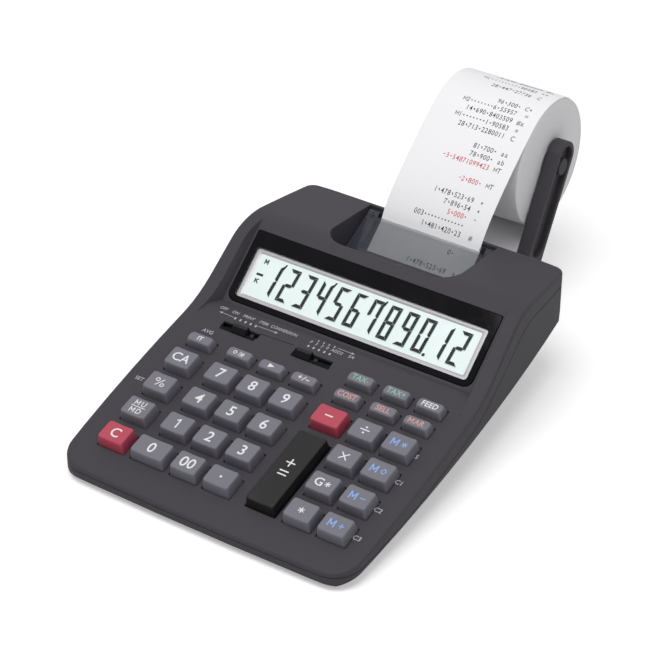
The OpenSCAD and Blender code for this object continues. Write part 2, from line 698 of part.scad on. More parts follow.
// Window with two upright paper guides at its rear corners and a hinge pin at each side in front
guide_x = 32;
guide_t = 1.2;
guide_l = 2.4;
guide_h = 6.5;
module printer_cover() color([0.5, 0.55, 0.62, 0.5]) place() {
    on_cover(-cover_t) translate([-cover_w / 2, -cover_len, 0]) cube([cover_w, cover_len, cover_t]);
    on_cover(-cover_t / 2) for (x = [-guide_x, guide_x])
        translate([x - guide_t / 2, -guide_l, 0]) cube([guide_t, guide_l, guide_h]);
    on_hinge() for (side = [-1, 1])
        translate([0, 0, side * (bowl_w / 2 + hinge_pin_l / 2 - 0.8)])
            cylinder(r = hinge_pin_r, h = hinge_pin_l + 1.6, center = true);
}

module frame_plate(x) translate([x, 0, 0]) {
    translate([-frame_t / 2, frame_front_d, frame_foot_z])
        cube([frame_t, frame_rear_d - frame_front_d, platen_z + 4 - frame_foot_z]);
}
ink_pt = [drum_d - (drum_r + ink_r + 0.3) * cos(32), platen_z - (drum_r + ink_r + 0.3) * sin(32)];
frame_floor_l = platen_d - frame_front_d;
module printer_frame() color([0.25, 0.25, 0.27]) place() difference() {
    union() {
        for (side = [-1, 1]) frame_plate(side * frame_x);
        translate([-frame_x, frame_front_d, frame_foot_z]) cube([2 * frame_x, frame_floor_l, frame_t]);
        // Legs that stand on the floor of the bay
        for (side = [-1, 1]) for (d = [frame_front_d, frame_rear_d - 6])
            translate([side * (frame_x + 2.5) - 3.5, d, bay_z + base_wall + 0.1])
                cube([7, 6, frame_foot_z - bay_z - base_wall + 1]);
    }
    for (d = [platen_d, drum_d]) translate([0, d, platen_z]) rotate([0, 90, 0])
        cylinder(r = shaft_r + run_gap, h = big, center = true);
    translate([0, ink_pt[0], ink_pt[1]]) rotate([0, 90, 0])
        cylinder(r = ink_shaft_r + run_gap, h = big, center = true);
}
// Feed gear: straight teeth, cut narrow enough to run freely
module feed_gear(phase) {
    m = 2 * gear_r / gear_teeth;
    pitch = 360 / gear_teeth;
    root = gear_r - m;
    tip = gear_r + 0.75 * m;
    polygon([for (i = [0:gear_teeth - 1]) each
        [for (q = [[-0.27, root], [-0.11, tip], [0.11, tip], [0.27, root]])
            q[1] * [cos((i + q[0] + phase) * pitch), sin((i + q[0] + phase) * pitch)]]]);
}
gear_x = frame_x + frame_t / 2 + 0.4;
gear_t = 3;
module shaft_piece(r, d, phase) {
    along_x(-paper_w / 2 - 1, paper_w / 2 + 1, d, platen_z) circle(r);
    along_x(-gear_x - gear_t, frame_x + frame_t / 2 + 1.5, d, platen_z) circle(shaft_r);
    translate([-gear_x - gear_t, d, platen_z]) rotate([90, 0, 90]) linear_extrude(gear_t)
        feed_gear(phase);
}
module platen_roller() color(black_tone) place() shaft_piece(platen_r, platen_d, 0);
module print_drum() color(metal_tone) place() shaft_piece(drum_r, drum_d, 0.5);
module ink_roller() color([0.15, 0.1, 0.3]) place() {
    along_x(-paper_w / 2, paper_w / 2, ink_pt[0], ink_pt[1]) circle(ink_r);
    along_x(-frame_x - 1.4, frame_x + 1.4, ink_pt[0], ink_pt[1]) circle(ink_shaft_r);
}
module feed_motor() color(metal_tone) place() {
    motor_z = frame_foot_z - motor_r - 0.05;
    along_x(2, 2 + motor_len, motor_d, motor_z) circle(motor_r);
    along_x(26, 30, motor_d, motor_z) circle(1.2);
}

// Paper: a ribbon of constant thickness along a path of arcs and straight runs
function arc_pts(c, r, a0, a1, n) =
    [for (i = [0:n]) let (a = a0 + (a1 - a0) * i / n) c + r * [cos(a), sin(a)]];
paper_lift = paper_t / 2 + 0.2;
roll_pt = [roll_d, roll_z];
wrap_r = roll_r + paper_lift;
lift_angle = 126;
wrap_end = 56;
join_d = bay_rear_d + 1.8;
join_z = inlet_z + inlet_h - 3.6;
module ribbon(pts) across(paper_w) polygon(concat(
    [for (i = [0:len(pts) - 1]) pts[i] + path_normal(pts, i) * paper_t / 2],
    [for (i = [len(pts) - 1:-1:0]) pts[i] - path_normal(pts, i) * paper_t / 2]));
function path_normal(pts, i) =
    let (a = pts[max(0, i - 1)], b = pts[min(len(pts) - 1, i + 1)], v = unit(b - a)) [-v[1], v[0]];
// Quadratic curve between two points, pulled towards the middle one
function bow(a, m, b, n) =
    [for (i = [0:n]) let (t = i / n) (1 - t) ^ 2 * a + 2 * t * (1 - t) * m + t ^ 2 * b];
function tangent_angle(c, r, p) =
    let (v = p - c) atan2(v[1], v[0]) - acos(r / norm(v));
rise_angle = 39.5;
module paper_tape() color(paper_tone) place() {
    turn_r = platen_r + paper_lift;
    platen_pt = [platen_d, platen_z];
    inlet = [join_d - 0.3, join_z];
    leave = roll_pt + wrap_r * [cos(lift_angle), sin(lift_angle)];
    climb = [cos(rise_angle), sin(rise_angle)];
    top_pt = platen_pt + turn_r * [-climb[1], climb[0]];
    bend_pt = top_pt + (cover_rear_d - 0.8 - top_pt[0]) / climb[0] * climb;
    exit = [cover_rear_d + 2.6, cover_z + 0.2];
    ribbon(concat([inlet], arc_pts(platen_pt, turn_r, tangent_angle(platen_pt, turn_r, inlet),
            rise_angle - 270, 14),
        bow(bend_pt, bend_pt + 2.7 * climb, exit, 6),
        bow(exit + [0.3, 0.6], leave - 49 * [sin(lift_angle), -cos(lift_angle)], leave, 12),
        arc_pts(roll_pt, wrap_r, lift_angle - 4, wrap_end, 12)));
}
module supply_web() color(paper_tone) place() {
    start = [join_d + 0.1, join_z];
    v = start - roll_pt;
    touch = atan2(v[1], v[0]) + acos(wrap_r / norm(v)) + 0.5;
    ribbon(concat([start], arc_pts(roll_pt, wrap_r, touch, touch + 12, 4)));
}
module paper_roll() color(paper_tone) place() difference() {
    along_x(-paper_w / 2, paper_w / 2, roll_d, roll_z) circle(roll_r, $fn = 128);
    along_x(-paper_w, paper_w, roll_d, roll_z) circle(core_r);
}

// Outline of a strap of width w with round ends, along a path with one bend
function left_of(v) = [-v[1], v[0]];
function heading(v) = atan2(v[1], v[0]);
function strap(a, b, c, w) =
    let (u = unit(b - a), v = unit(c - b), miter = (left_of(u) + left_of(v)) / (1 + u * v) * w / 2,
        back = heading(u) + 90, ahead = heading(v) - 90)
    concat(arc_pts(a, w / 2, back, back + 180, 16), [b - miter],
        arc_pts(c, w / 2, ahead, ahead + 180, 16), [b + miter]);
hinge_pt = [hinge_d, hinge_z];
channel_start = knee_pt + 0.2 * (head_pt - knee_pt);
module side_plate(pts, x0, x1) translate([x0, 0, 0]) rotate([90, 0, 90]) linear_extrude(x1 - x0)
    polygon(pts);
module arm() difference() {
    union() {
        side_plate(strap(hinge_pt, knee_pt, head_pt, arm_w), arm_x, arm_x + arm_t);
        along_x(arm_x - pin_len, arm_x + 1, roll_d, roll_z) circle(core_r - run_gap);
    }
    // Channel in the outer face, with the boss of the roll's pin left standing in it
    difference() {
        side_plate(strap(channel_start, (channel_start + head_pt) / 2, head_pt, arm_w - 5),
            arm_x + arm_t - channel_h, arm_x + arm_t + 4);
        along_x(arm_x - 1, arm_x + arm_t + 5, roll_d, roll_z) circle(hub_r);
    }
}
module roll_holder() color(case_tone) place() {
    arm();
    mirror([1, 0, 0]) arm();
    along_x(-arm_x - 0.5, arm_x + 0.5, hinge_d, hinge_z) circle(hinge_r);
}

module battery_door() color(case_tone) place() {
    translate([-door_w / 2, door_front_d, bay_z]) cube([door_w, door_len, door_t]);
    translate([-door_w / 2 - tongue_w, door_front_d, bay_z + tongue_z])
        cube([door_w + 2 * tongue_w, door_len, door_t - tongue_z]);
    for (x = [-12:4:12]) translate([x - 0.6, door_front_d + 5, bay_z - 0.4]) cube([1.2, 8, 0.5]);
}
module batteries() place() for (row = [0, 1]) for (side = [-1, 1]) color([0.2, 0.2, 0.22])
    translate([side * (cell_len / 2 + 0.6), cell_row1_d + row * cell_row_step, cell_z]) rotate([0, 90, 0]) {
        cylinder(r = cell_dia / 2, h = cell_len - 1.5, center = true);
        cylinder(r = 2.7, h = cell_len, center = true);
    }
module battery_contacts() color(metal_tone) place() for (side = [-1, 1])
    translate([side * (cell_len + 0.6 + contact_gap + contact_t / 2) - contact_t / 2,
        cell_row1_d - 6, cell_z - 5.4]) cube([contact_t, cell_row_step + 12, 11]);

module rubber_feet() color(black_tone) place() difference() {
    for (p = foot_spots) translate([p[0], p[1], 0])
        cylinder(r = foot_dia / 2, h = p[1] < bay_front_d ? 20 : bay_z);
    across(big) under_side(0);
}
module case_screws() color(metal_tone) place() for (p = screw_spots) translate([p[0], p[1], 0]) {
    translate([0, 0, p[2] - screw_head_h]) cylinder(r = screw_head_r, h = screw_head_h);
    translate([0, 0, p[2] - 0.1]) cylinder(r = screw_r, h = p[3] - p[2]);
}
jack_bore_r = 2.8;
module dc_jack() color(black_tone) place() translate([jack_x, jack_face_d, jack_z]) difference() {
    translate([-jack_w / 2, -jack_l, -jack_h / 2]) cube([jack_w, jack_l, jack_h]);
    rotate([90, 0, 0]) translate([0, 0, -1]) cylinder(r = jack_bore_r, h = jack_bore_l + 1);
}

upper_case();
lower_case();
display_lens();
lcd_module();
key_mat();
main_board();
power_switch_knob();
rounding_switch_knob();
printer_cover();
printer_frame();
platen_roller();
print_drum();
ink_roller();
feed_motor();
paper_roll();
roll_holder();
paper_tape();
supply_web();
battery_door();
batteries();
battery_contacts();
rubber_feet();
case_screws();
dc_jack();
for (k = KEYS) key(k[0]);
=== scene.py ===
"""Printing desk calculator: its looks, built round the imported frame. Metres, front towards -Y."""

import math

import bmesh
import bpy
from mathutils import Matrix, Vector


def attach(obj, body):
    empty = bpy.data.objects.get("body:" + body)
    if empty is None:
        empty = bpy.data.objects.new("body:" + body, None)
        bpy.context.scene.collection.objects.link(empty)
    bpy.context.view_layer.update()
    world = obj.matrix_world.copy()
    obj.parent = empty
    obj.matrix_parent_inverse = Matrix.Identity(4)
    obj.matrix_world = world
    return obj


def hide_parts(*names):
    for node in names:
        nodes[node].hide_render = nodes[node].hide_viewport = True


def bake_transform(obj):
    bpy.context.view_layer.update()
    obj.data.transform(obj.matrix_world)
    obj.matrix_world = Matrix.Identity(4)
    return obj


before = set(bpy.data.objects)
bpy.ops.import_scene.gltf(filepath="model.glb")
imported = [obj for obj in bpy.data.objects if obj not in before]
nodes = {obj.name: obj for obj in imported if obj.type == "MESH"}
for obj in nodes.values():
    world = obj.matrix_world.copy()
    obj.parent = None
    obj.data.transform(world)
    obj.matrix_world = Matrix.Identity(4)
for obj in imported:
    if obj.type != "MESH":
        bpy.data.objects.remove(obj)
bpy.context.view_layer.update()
MM = 0.001
HALF_CASE = 103.0  # half of the case's length

# Slopes: angle in degrees, then where each starts behind the front edge and over the desk
DECK_SLOPE = (13, 0, 9)
LENS_SLOPE = (39.3, 123.2, 35)
# Axes of the turning pieces: distance behind the front edge, height
PLATEN_AT, DRUM_AT, ROLL_AT = (181.2, 28.5), (168.2, 28.5), (270.0, 72.0)
# Seen from above, each side of the case is an arc of this radius, widest at this place
SIDE_ARC, WIDEST_D, HALF_WIDTH = 1060, 71.5, 82.5


# ---------------------------------------------------------------- places on the calculator
def tilted(x, s, n, degrees, d0, z0):
    """A point s up a slope and n above it; the slope starts d0 behind the front edge at height z0."""
    c, k = math.cos(math.radians(degrees)), math.sin(math.radians(degrees))
    return Vector((x, d0 - HALF_CASE + s * c - n * k, z0 + s * k + n * c)) * MM


def on_deck(x, s, n):
    return tilted(x, s, n, *DECK_SLOPE)


def on_lens(x, s, n):
    return tilted(x, s, n, *LENS_SLOPE)


def in_case(x, d, z):
    return Vector((x, d - HALF_CASE, z)) * MM


def half_width(d):
    return HALF_WIDTH - SIDE_ARC + math.sqrt(SIDE_ARC**2 - (d - WIDEST_D) ** 2)


# ---------------------------------------------------------------- effects shared by the materials
def add(tree, kind, inputs=None, **settings):
    node = tree.nodes.new(kind)
    for key, value in settings.items():
        setattr(node, key, value)
    for key, value in (inputs or {}).items():
        if isinstance(value, bpy.types.NodeSocket):
            tree.links.new(value, node.inputs[key])
        else:
            node.inputs[key].default_value = value
    return node


def calc(tree, operation, a, b=0.0, c=0.0):
    return add(tree, "ShaderNodeMath", {0: a, 1: b, 2: c}, operation=operation).outputs[0]


def blend_colours(tree, factor, a, b):
    node = add(tree, "ShaderNodeMix", data_type="RGBA")
    for socket, value in ((node.inputs[0], factor), (node.inputs[6], a), (node.inputs[7], b)):
        if isinstance(value, bpy.types.NodeSocket):
            tree.links.new(value, socket)
        else:
            socket.default_value = value
    return node.outputs[2]


def tinted(tree, colour, factor):
    """The colour made lighter or darker by a factor."""
    return add(tree, "ShaderNodeVectorMath", {0: colour, 3: factor}, operation="SCALE").outputs[0]


def noise(tree, where, scale, detail=2.0, rough=0.5):
    return add(tree, "ShaderNodeTexNoise",
               {"Vector": where, "Scale": scale, "Detail": detail, "Roughness": rough}).outputs[0]


def effect(name, inputs, outputs):
    """An empty shader node group: its tree, its inputs and the node that takes its outputs."""
    tree = bpy.data.node_groups.new(name, "ShaderNodeTree")
    for title, kind, value in inputs:
        socket = tree.interface.new_socket(title, in_out="INPUT", socket_type=kind)
        socket.default_value = value
    for title, kind in outputs:
        tree.interface.new_socket(title, in_out="OUTPUT", socket_type=kind)
    return tree, add(tree, "NodeGroupInput").outputs, add(tree, "NodeGroupOutput")


NUMBER, COLOUR = "NodeSocketFloat", "NodeSocketColor"


def moulded_grain():
    """Fine spark-eroded grain of a moulded plastic, with faint clouds of colour and wear."""
    tree, given, out = effect(
        "moulded_grain",
        [("Colour", COLOUR, (0.1, 0.1, 0.1, 1)), ("Grain Scale", NUMBER, 1600.0), ("Mottle", NUMBER, 0.1),
         ("Roughness", NUMBER, 0.5), ("Spread", NUMBER, 0.1)],
        [("Colour", COLOUR), ("Roughness", NUMBER), ("Height", NUMBER)])
    where = add(tree, "ShaderNodeTexCoord").outputs["Object"]
    grain = noise(tree, where, given["Grain Scale"], 3.0, 0.6)
    cloud = noise(tree, where, 45.0, 3.0)
    both = calc(tree, "ADD", calc(tree, "MULTIPLY", grain, 0.6), calc(tree, "MULTIPLY", cloud, 0.4))
    change = calc(tree, "MULTIPLY", calc(tree, "SUBTRACT", both, 0.5), given["Mottle"])
    lift = calc(tree, "ADD", change, 1.0)
    tree.links.new(tinted(tree, given["Colour"], lift), out.inputs["Colour"])
    rough = calc(tree, "MULTIPLY_ADD", calc(tree, "SUBTRACT", cloud, 0.5), given["Spread"], given["Roughness"])
    tree.links.new(rough, out.inputs["Roughness"])
    tree.links.new(grain, out.inputs["Height"])
    return tree


def smears():
    """Faint finger smears and dust on a polished surface."""
    tree, given, out = effect(
        "smears", [("Roughness", NUMBER, 0.05), ("Amount", NUMBER, 0.1), ("Scale", NUMBER, 60.0)],
        [("Roughness", NUMBER), ("Mask", NUMBER)])
    where = add(tree, "ShaderNodeTexCoord").outputs["Object"]
    broad = noise(tree, where, given["Scale"], 4.0, 0.7)
    speck = add(tree, "ShaderNodeTexVoronoi", {"Vector": where, "Scale": 900.0}).outputs["Distance"]
    dust = calc(tree, "LESS_THAN", speck, 0.055)
    smear = add(tree, "ShaderNodeMapRange", {0: broad, 1: 0.45, 2: 0.75, 3: 0.0, 4: 1.0}).outputs[0]
    mask = calc(tree, "MAXIMUM", smear, calc(tree, "MULTIPLY", dust, 0.6))
    tree.links.new(mask, out.inputs["Mask"])
    rough = calc(tree, "MULTIPLY_ADD", mask, given["Amount"], given["Roughness"])
    tree.links.new(rough, out.inputs["Roughness"])
    return tree


def paper_fibre():
    """Short fibres of uncoated paper, and the rings of a wound roll round its axle."""
    tree, given, out = effect(
        "paper_fibre", [("Colour", COLOUR, (0.9, 0.9, 0.9, 1)), ("Rings", NUMBER, 0.0)],
        [("Colour", COLOUR), ("Height", NUMBER)])
    where = add(tree, "ShaderNodeTexCoord").outputs["Object"]
    fibre = noise(tree, where, 1400.0, 5.0, 0.7)
    moved = add(tree, "ShaderNodeVectorMath", {0: where, 1: (0, -0.167, -0.072)}, operation="ADD").outputs[0]
    part = add(tree, "ShaderNodeSeparateXYZ", {0: moved})
    radius = calc(tree, "SQRT", calc(tree, "ADD", calc(tree, "MULTIPLY", part.outputs[1], part.outputs[1]),
                                     calc(tree, "MULTIPLY", part.outputs[2], part.outputs[2])))
    wound = add(tree, "ShaderNodeTexNoise", {"W": calc(tree, "MULTIPLY", radius, 2600.0), "Scale": 1.0,
                                             "Detail": 3.0}, noise_dimensions="1D").outputs[0]
    edge = add(tree, "ShaderNodeNewGeometry").outputs["Normal"]
    facing = calc(tree, "ABSOLUTE", add(tree, "ShaderNodeSeparateXYZ", {0: edge}).outputs[0])
    uneven = calc(tree, "MULTIPLY", calc(tree, "SUBTRACT", wound, 0.5), given["Rings"])
    ring = calc(tree, "MULTIPLY", uneven, facing)
    light = calc(tree, "ADD", calc(tree, "MULTIPLY_ADD", calc(tree, "SUBTRACT", fibre, 0.5), 0.05, 1.0), ring)
    tree.links.new(tinted(tree, given["Colour"], light), out.inputs["Colour"])
    tree.links.new(calc(tree, "ADD", fibre, ring), out.inputs["Height"])
    return tree


def drawn_metal():
    """Fine lines along X of rolled or turned metal."""
    tree, given, out = effect(
        "drawn_metal", [("Colour", COLOUR, (0.6, 0.6, 0.6, 1)), ("Roughness", NUMBER, 0.3)],
        [("Colour", COLOUR), ("Roughness", NUMBER), ("Height", NUMBER)])
    where = add(tree, "ShaderNodeTexCoord").outputs["Object"]
    long = add(tree, "ShaderNodeMapping", {"Vector": where, "Scale": (60.0, 2400.0, 2400.0)}).outputs[0]
    lines = noise(tree, long, 1.0, 3.0, 0.6)
    light = calc(tree, "MULTIPLY_ADD", calc(tree, "SUBTRACT", lines, 0.5), 0.25, 1.0)
    tree.links.new(tinted(tree, given["Colour"], light), out.inputs["Colour"])
    rough = calc(tree, "MULTIPLY_ADD", calc(tree, "SUBTRACT", lines, 0.5), 0.3, given["Roughness"])
    tree.links.new(rough, out.inputs["Roughness"])
    tree.links.new(lines, out.inputs["Height"])
    return tree


GRAIN, SMEARS, FIBRE, DRAWN = moulded_grain(), smears(), paper_fibre(), drawn_metal()


def material(name, sockets):
    """A new material with its shader's own plain sockets set."""
    made = bpy.data.materials.new(name)
    made.use_nodes = True
    shader = made.node_tree.nodes["Principled BSDF"]
    for key, value in sockets.items():
        shader.inputs[key].default_value = value
    return made, made.node_tree, shader


def use(tree, group, values):
    node = tree.nodes.new("ShaderNodeGroup")
    node.node_tree = group
    for key, value in values.items():
        node.inputs[key].default_value = value
    return node.outputs


def surface(name, sockets, group, values, depth, strength=1.0):
    """A material whose colour, unevenness and, where the group has one, roughness come from a group."""
    made, tree, shader = material(name, sockets)
    out = use(tree, group, values)
    tree.links.new(out["Colour"], shader.inputs["Base Color"])
    if "Roughness" in out:
        tree.links.new(out["Roughness"], shader.inputs["Roughness"])
    bump = add(tree, "ShaderNodeBump", {"Height": out["Height"], "Distance": depth, "Strength": strength})
    tree.links.new(bump.outputs[0], shader.inputs["Normal"])
    return made


def plastic(name, colour, roughness, grain=1600.0, mottle=0.14, spread=0.12, depth=0.00003, **sockets):
    return surface(name, {"IOR": 1.49, **sockets}, GRAIN, {
        "Colour": (*colour, 1), "Grain Scale": grain, "Mottle": mottle, "Roughness": roughness, "Spread": spread},
        depth)


def gloss(name, colour, roughness, amount, scale=60.0, tint=0.02, **sockets):
    """A polished piece: its colour turns slightly grey where it is smeared."""
    made, tree, shader = material(name, {"IOR": 1.49, **sockets})
    out = use(tree, SMEARS, {"Roughness": roughness, "Amount": amount, "Scale": scale})
    tree.links.new(out["Roughness"], shader.inputs["Roughness"])
    grey = tuple(min(1.0, c + tint) for c in colour)
    tree.links.new(blend_colours(tree, out["Mask"], (*colour, 1), (*grey, 1)), shader.inputs["Base Color"])
    return made


def papery(name, colour, rings=0.0):
    return surface(name, {"Roughness": 0.85, "IOR": 1.4}, FIBRE, {"Colour": (*colour, 1), "Rings": rings},
                   0.00004, 0.6)


def metal(name, colour, roughness, metallic=1.0):
    return surface(name, {"Metallic": metallic}, DRAWN, {"Colour": (*colour, 1), "Roughness": roughness}, 0.00001)


DULL = {"Specular IOR Level": 0.25}
FLAT = {"Specular IOR Level": 0.1}
CASE = plastic("case_plastic", (0.049, 0.045, 0.053), 0.6, 1500.0, 0.2, 0.1, 0.00005, **DULL)
DARK = plastic("inner_plastic", (0.016, 0.015, 0.019), 0.5, 1500.0, 0.2)
KEY = plastic("key_plastic", (0.19, 0.188, 0.222), 0.5, 2600.0, 0.08, 0.1, 0.000012, **DULL)
RED = plastic("red_key_plastic", (0.50, 0.075, 0.115), 0.42, 2600.0, 0.08, 0.1, 0.00001, **DULL)
BLACK = plastic("black_key_plastic", (0.013, 0.013, 0.014), 0.34, 2600.0, 0.2, 0.1, 0.00001, **DULL)
RUBBER = plastic("foot_rubber", (0.022, 0.022, 0.022), 0.8, 1100.0, 0.3)
BOARD = plastic("circuit_board", (0.004, 0.014, 0.008), 0.6, 900.0, 0.5, **DULL)
FELT = plastic("ink_felt", (0.018, 0.014, 0.06), 0.95, 2200.0, 0.6, 0.0, 0.0002)
LENS = gloss("lens_black", (0.002, 0.002, 0.003), 0.05, 0.1, tint=0.002, **FLAT)
SILVER = plastic("frame_silver", (0.50, 0.49, 0.51), 0.34, 2400.0, 0.05, 0.06, 0.00001, Metallic=0.25)
# The display glass's emission is a painted glow: it stands in for light that the reflector behind it throws back,
# and the display is no lamp.
LCD = plastic("lcd_glass_painted_glow", (0.74, 0.83, 0.82), 0.30, 700.0, 0.03, 0.05, 0.000001,
              **{"Emission Color": (0.8, 0.95, 0.93, 1), "Emission Strength": 0.16})
SEGMENT = plastic("lcd_segment", (0.004, 0.008, 0.008), 0.5, 2000.0, **FLAT)
# Colour of the figures' painted shadows on the display glass.
PAINTED_FIGURE_SHADOW = plastic("lcd_segment_painted_shadow", (0.62, 0.72, 0.71), 0.5, 2000.0)
# Black painted as the shade inside the switch slots; the switch sliders' stems and front slopes take it too.
PAINTED_SLOT_SHADE = plastic("slot_painted_shade", (0.004, 0.004, 0.005), 0.7, 2000.0, **FLAT)
PAPER = papery("tape_paper", (0.95, 0.95, 0.965))
# The roll's paper is the tape's paper made darker: painted shade.
ROLL = papery("roll_paper_painted_shade", (0.82, 0.82, 0.835), 0.35)
TUBE = plastic("roll_core", (0.30, 0.29, 0.28), 0.8, 900.0, 0.3)
INK = plastic("print_black", (0.020, 0.018, 0.024), 0.8, 2400.0, 0.8)
INK_RED = plastic("print_red", (0.62, 0.035, 0.06), 0.8, 2400.0, 0.5)
STEEL = metal("bright_steel", (0.58, 0.58, 0.57), 0.28)
DRUM = metal("type_drum", (0.30, 0.30, 0.32), 0.4, 0.6)
CELL = gloss("cell_sleeve", (0.03, 0.03, 0.035), 0.25, 0.2)
WHITE = plastic("legend_white", (0.80, 0.80, 0.82), 0.5, 2400.0, 0.1)
PALE = plastic("label_grey", (0.46, 0.45, 0.48), 0.5, 2400.0, 0.2)
BLUE = plastic("legend_blue", (0.26, 0.42, 0.85), 0.5, 2400.0, 0.1)
GREEN = plastic("legend_green", (0.27, 0.50, 0.38), 0.5, 2400.0, 0.1)
PINK = plastic("legend_pink", (0.66, 0.33, 0.30), 0.5, 2400.0, 0.1)


def smoke():
    """Clear smoky plastic of the window over the printer."""
    made, tree, shader = material("smoky_window", {"IOR": 1.49, "Coat Weight": 0.4, "Coat Roughness": 0.05,
                                                   "Base Color": (0.060, 0.066, 0.095, 1)})
    out = use(tree, SMEARS, {"Roughness": 0.08, "Amount": 0.1, "Scale": 80.0})
    tree.links.new(out["Roughness"], shader.inputs["Roughness"])
    tree.links.new(calc(tree, "MULTIPLY_ADD", out["Mask"], 0.04, 0.31), shader.inputs["Alpha"])
    return made


def clear():
    """Clear pane of the display: it only mirrors, more at a low angle."""
    made, tree, shader = material("clear_pane", {"Metallic": 1.0, "Base Color": (1, 1, 1, 1)})
    out = use(tree, SMEARS, {"Roughness": 0.03, "Amount": 0.1, "Scale": 60.0})
    tree.links.new(out["Roughness"], shader.inputs["Roughness"])
    mirror = add(tree, "ShaderNodeFresnel", {"IOR": 1.49}).outputs[0]
    faint = calc(tree, "MULTIPLY", mirror, 0.3)
    tree.links.new(calc(tree, "MULTIPLY_ADD", out["Mask"], 0.005, faint), shader.inputs["Alpha"])
    return made


SMOKE, CLEAR = smoke(), clear()


# ---------------------------------------------------------------- making meshes and pieces
class Shape:
    """Vertices in metres and faces, with one material number for each face."""

    def __init__(self):
        self.points, self.faces, self.kinds = [], [], []

    def put(self, points, faces, kind=0):
        start = len(self.points)
        self.points += [Vector(p) for p in points]
        self.faces += [[start + i for i in f] for f in faces]
        self.kinds += [kind] * len(faces)

    def rings(self, rings, kind=0, closed=False):
        """A skin over rings of equally many points, closed by a fan at each end unless the rings join up."""
        n, m = len(rings[0]), len(rings)
        points = [p for ring in rings for p in ring]
        faces = [[j * n + i, j * n + (i + 1) % n, (j + 1) % m * n + (i + 1) % n, (j + 1) % m * n + i]
                 for j in range(m if closed else m - 1) for i in range(n)]
        if not closed:
            for ring, order in ((0, -1), (m - 1, 1)):
                centre = sum((Vector(p) for p in rings[ring]), Vector()) / n
                points.append(centre)
                tip = len(points) - 1
                faces += [[ring * n + i, ring * n + (i + 1) % n, tip][::order] for i in range(n)]
        self.put(points, faces, kind)

    def prism(self, outline, place, low, high, kind=0):
        """A solid from a flat outline, placed by place(u, v, height)."""
        n = len(outline)
        points = [place(u, v, low) for u, v in outline] + [place(u, v, high) for u, v in outline]
        faces = [list(range(n))[::-1], [n + i for i in range(n)]]
        faces += [[i, (i + 1) % n, n + (i + 1) % n, n + i] for i in range(n)]
        self.put(points, faces, kind)

    def mesh(self, name, finishes, sharp=35):
        made = bpy.data.meshes.new(name)
        made.from_pydata(self.points, [], self.faces)
        for finish in finishes:
            made.materials.append(finish)
        for face, kind in zip(made.polygons, self.kinds):
            face.material_index = kind
        bm = bmesh.new()
        bm.from_mesh(made)
        bmesh.ops.recalc_face_normals(bm, faces=bm.faces)
        bm.to_mesh(made)
        bm.free()
        made.shade_smooth()
        made.set_sharp_from_angle(angle=math.radians(sharp))
        return made

    def piece(self, name, body, finishes, slot=None, replaces=(), sharp=35):
        finishes = finishes if isinstance(finishes, (list, tuple)) else [finishes]
        return settle_in(name, self.mesh(name, finishes, sharp), body, replaces)


def settle_in(name, mesh, body, replaces=()):
    obj = bpy.data.objects.new(name, mesh)
    bpy.context.scene.collection.objects.link(obj)
    if body:
        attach(obj, body)
    if replaces:
        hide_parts(*replaces)
    return obj


def rounded(w, l, r, steps=5, cx=0.0, cy=0.0, along=0):
    """Outline of a rectangle with round corners, and that many extra points along each straight side."""
    r = min(r, w / 2 - 0.01, l / 2 - 0.01)
    corners = []
    for sx, sy, start in ((1, -1, -90), (1, 1, 0), (-1, 1, 90), (-1, -1, 180)):
        turns = [math.radians(start + 90 * i / steps) for i in range(steps + 1)]
        corners.append([(cx + sx * (w / 2 - r) + r * math.cos(a), cy + sy * (l / 2 - r) + r * math.sin(a))
                        for a in turns])
    points = []
    for k, corner in enumerate(corners):
        (x0, y0), (x1, y1) = corner[-1], corners[(k + 1) % 4][0]
        shares = [i / (along + 1) for i in range(1, along + 1)]
        points += corner + [(x0 + (x1 - x0) * t, y0 + (y1 - y0) * t) for t in shares]
    return points


def plain_mesh(obj):
    """The object's mesh with its modifiers worked in."""
    bpy.context.view_layer.update()
    seen = obj.evaluated_get(bpy.context.evaluated_depsgraph_get())
    mesh = bpy.data.meshes.new_from_object(seen)
    bpy.data.objects.remove(obj)
    return mesh


def merged_copy(node):
    """A copy of a CAD node's skin with its loose triangles joined into whole faces."""
    bm = bmesh.new()
    bm.from_mesh(nodes[node].data)
    bmesh.ops.remove_doubles(bm, verts=bm.verts, dist=2e-6)
    bmesh.ops.dissolve_limit(bm, angle_limit=math.radians(0.5), verts=bm.verts, edges=bm.edges)
    bm.verts.index_update()
    mesh = bpy.data.meshes.new(node + "_skin")
    mesh.from_pydata([v.co.copy() for v in bm.verts], [], [[v.index for v in f.verts] for f in bm.faces])
    bm.free()
    return mesh


def dressed(node, name, body, finish, width, share=None, angle=28, segments=2):
    """The node's own shape with soft edges. share(edge middle) says how much of the width an edge gets."""
    mesh = merged_copy(node)
    bm = bmesh.new()
    bm.from_mesh(mesh)
    weight = bm.edges.layers.float.new("bevel_weight_edge")
    for edge in bm.edges:
        broad = edge.link_faces and min(f.calc_area() for f in edge.link_faces) > edge.calc_length() * 0.00025
        if broad and edge.is_convex and edge.calc_face_angle(0) > math.radians(angle):
            middle = (edge.verts[0].co + edge.verts[1].co) / 2
            edge[weight] = share(middle, edge) if share else 1.0
    bm.to_mesh(mesh)
    bm.free()
    obj = bpy.data.objects.new(name, mesh)
    bpy.context.scene.collection.objects.link(obj)
    soft = obj.modifiers.new("soft_edges", "BEVEL")
    soft.width, soft.segments, soft.limit_method = width * MM, segments, "WEIGHT"
    soft.use_clamp_overlap, soft.miter_outer = False, "MITER_ARC"
    obj.modifiers.new("even_shading", "WEIGHTED_NORMAL").keep_sharp = True
    mesh.shade_smooth()
    mesh.set_sharp_from_angle(angle=math.radians(50))
    mesh = plain_mesh(obj)
    mesh.materials.clear()
    mesh.materials.append(finish)
    return settle_in(name, mesh, body, [node])


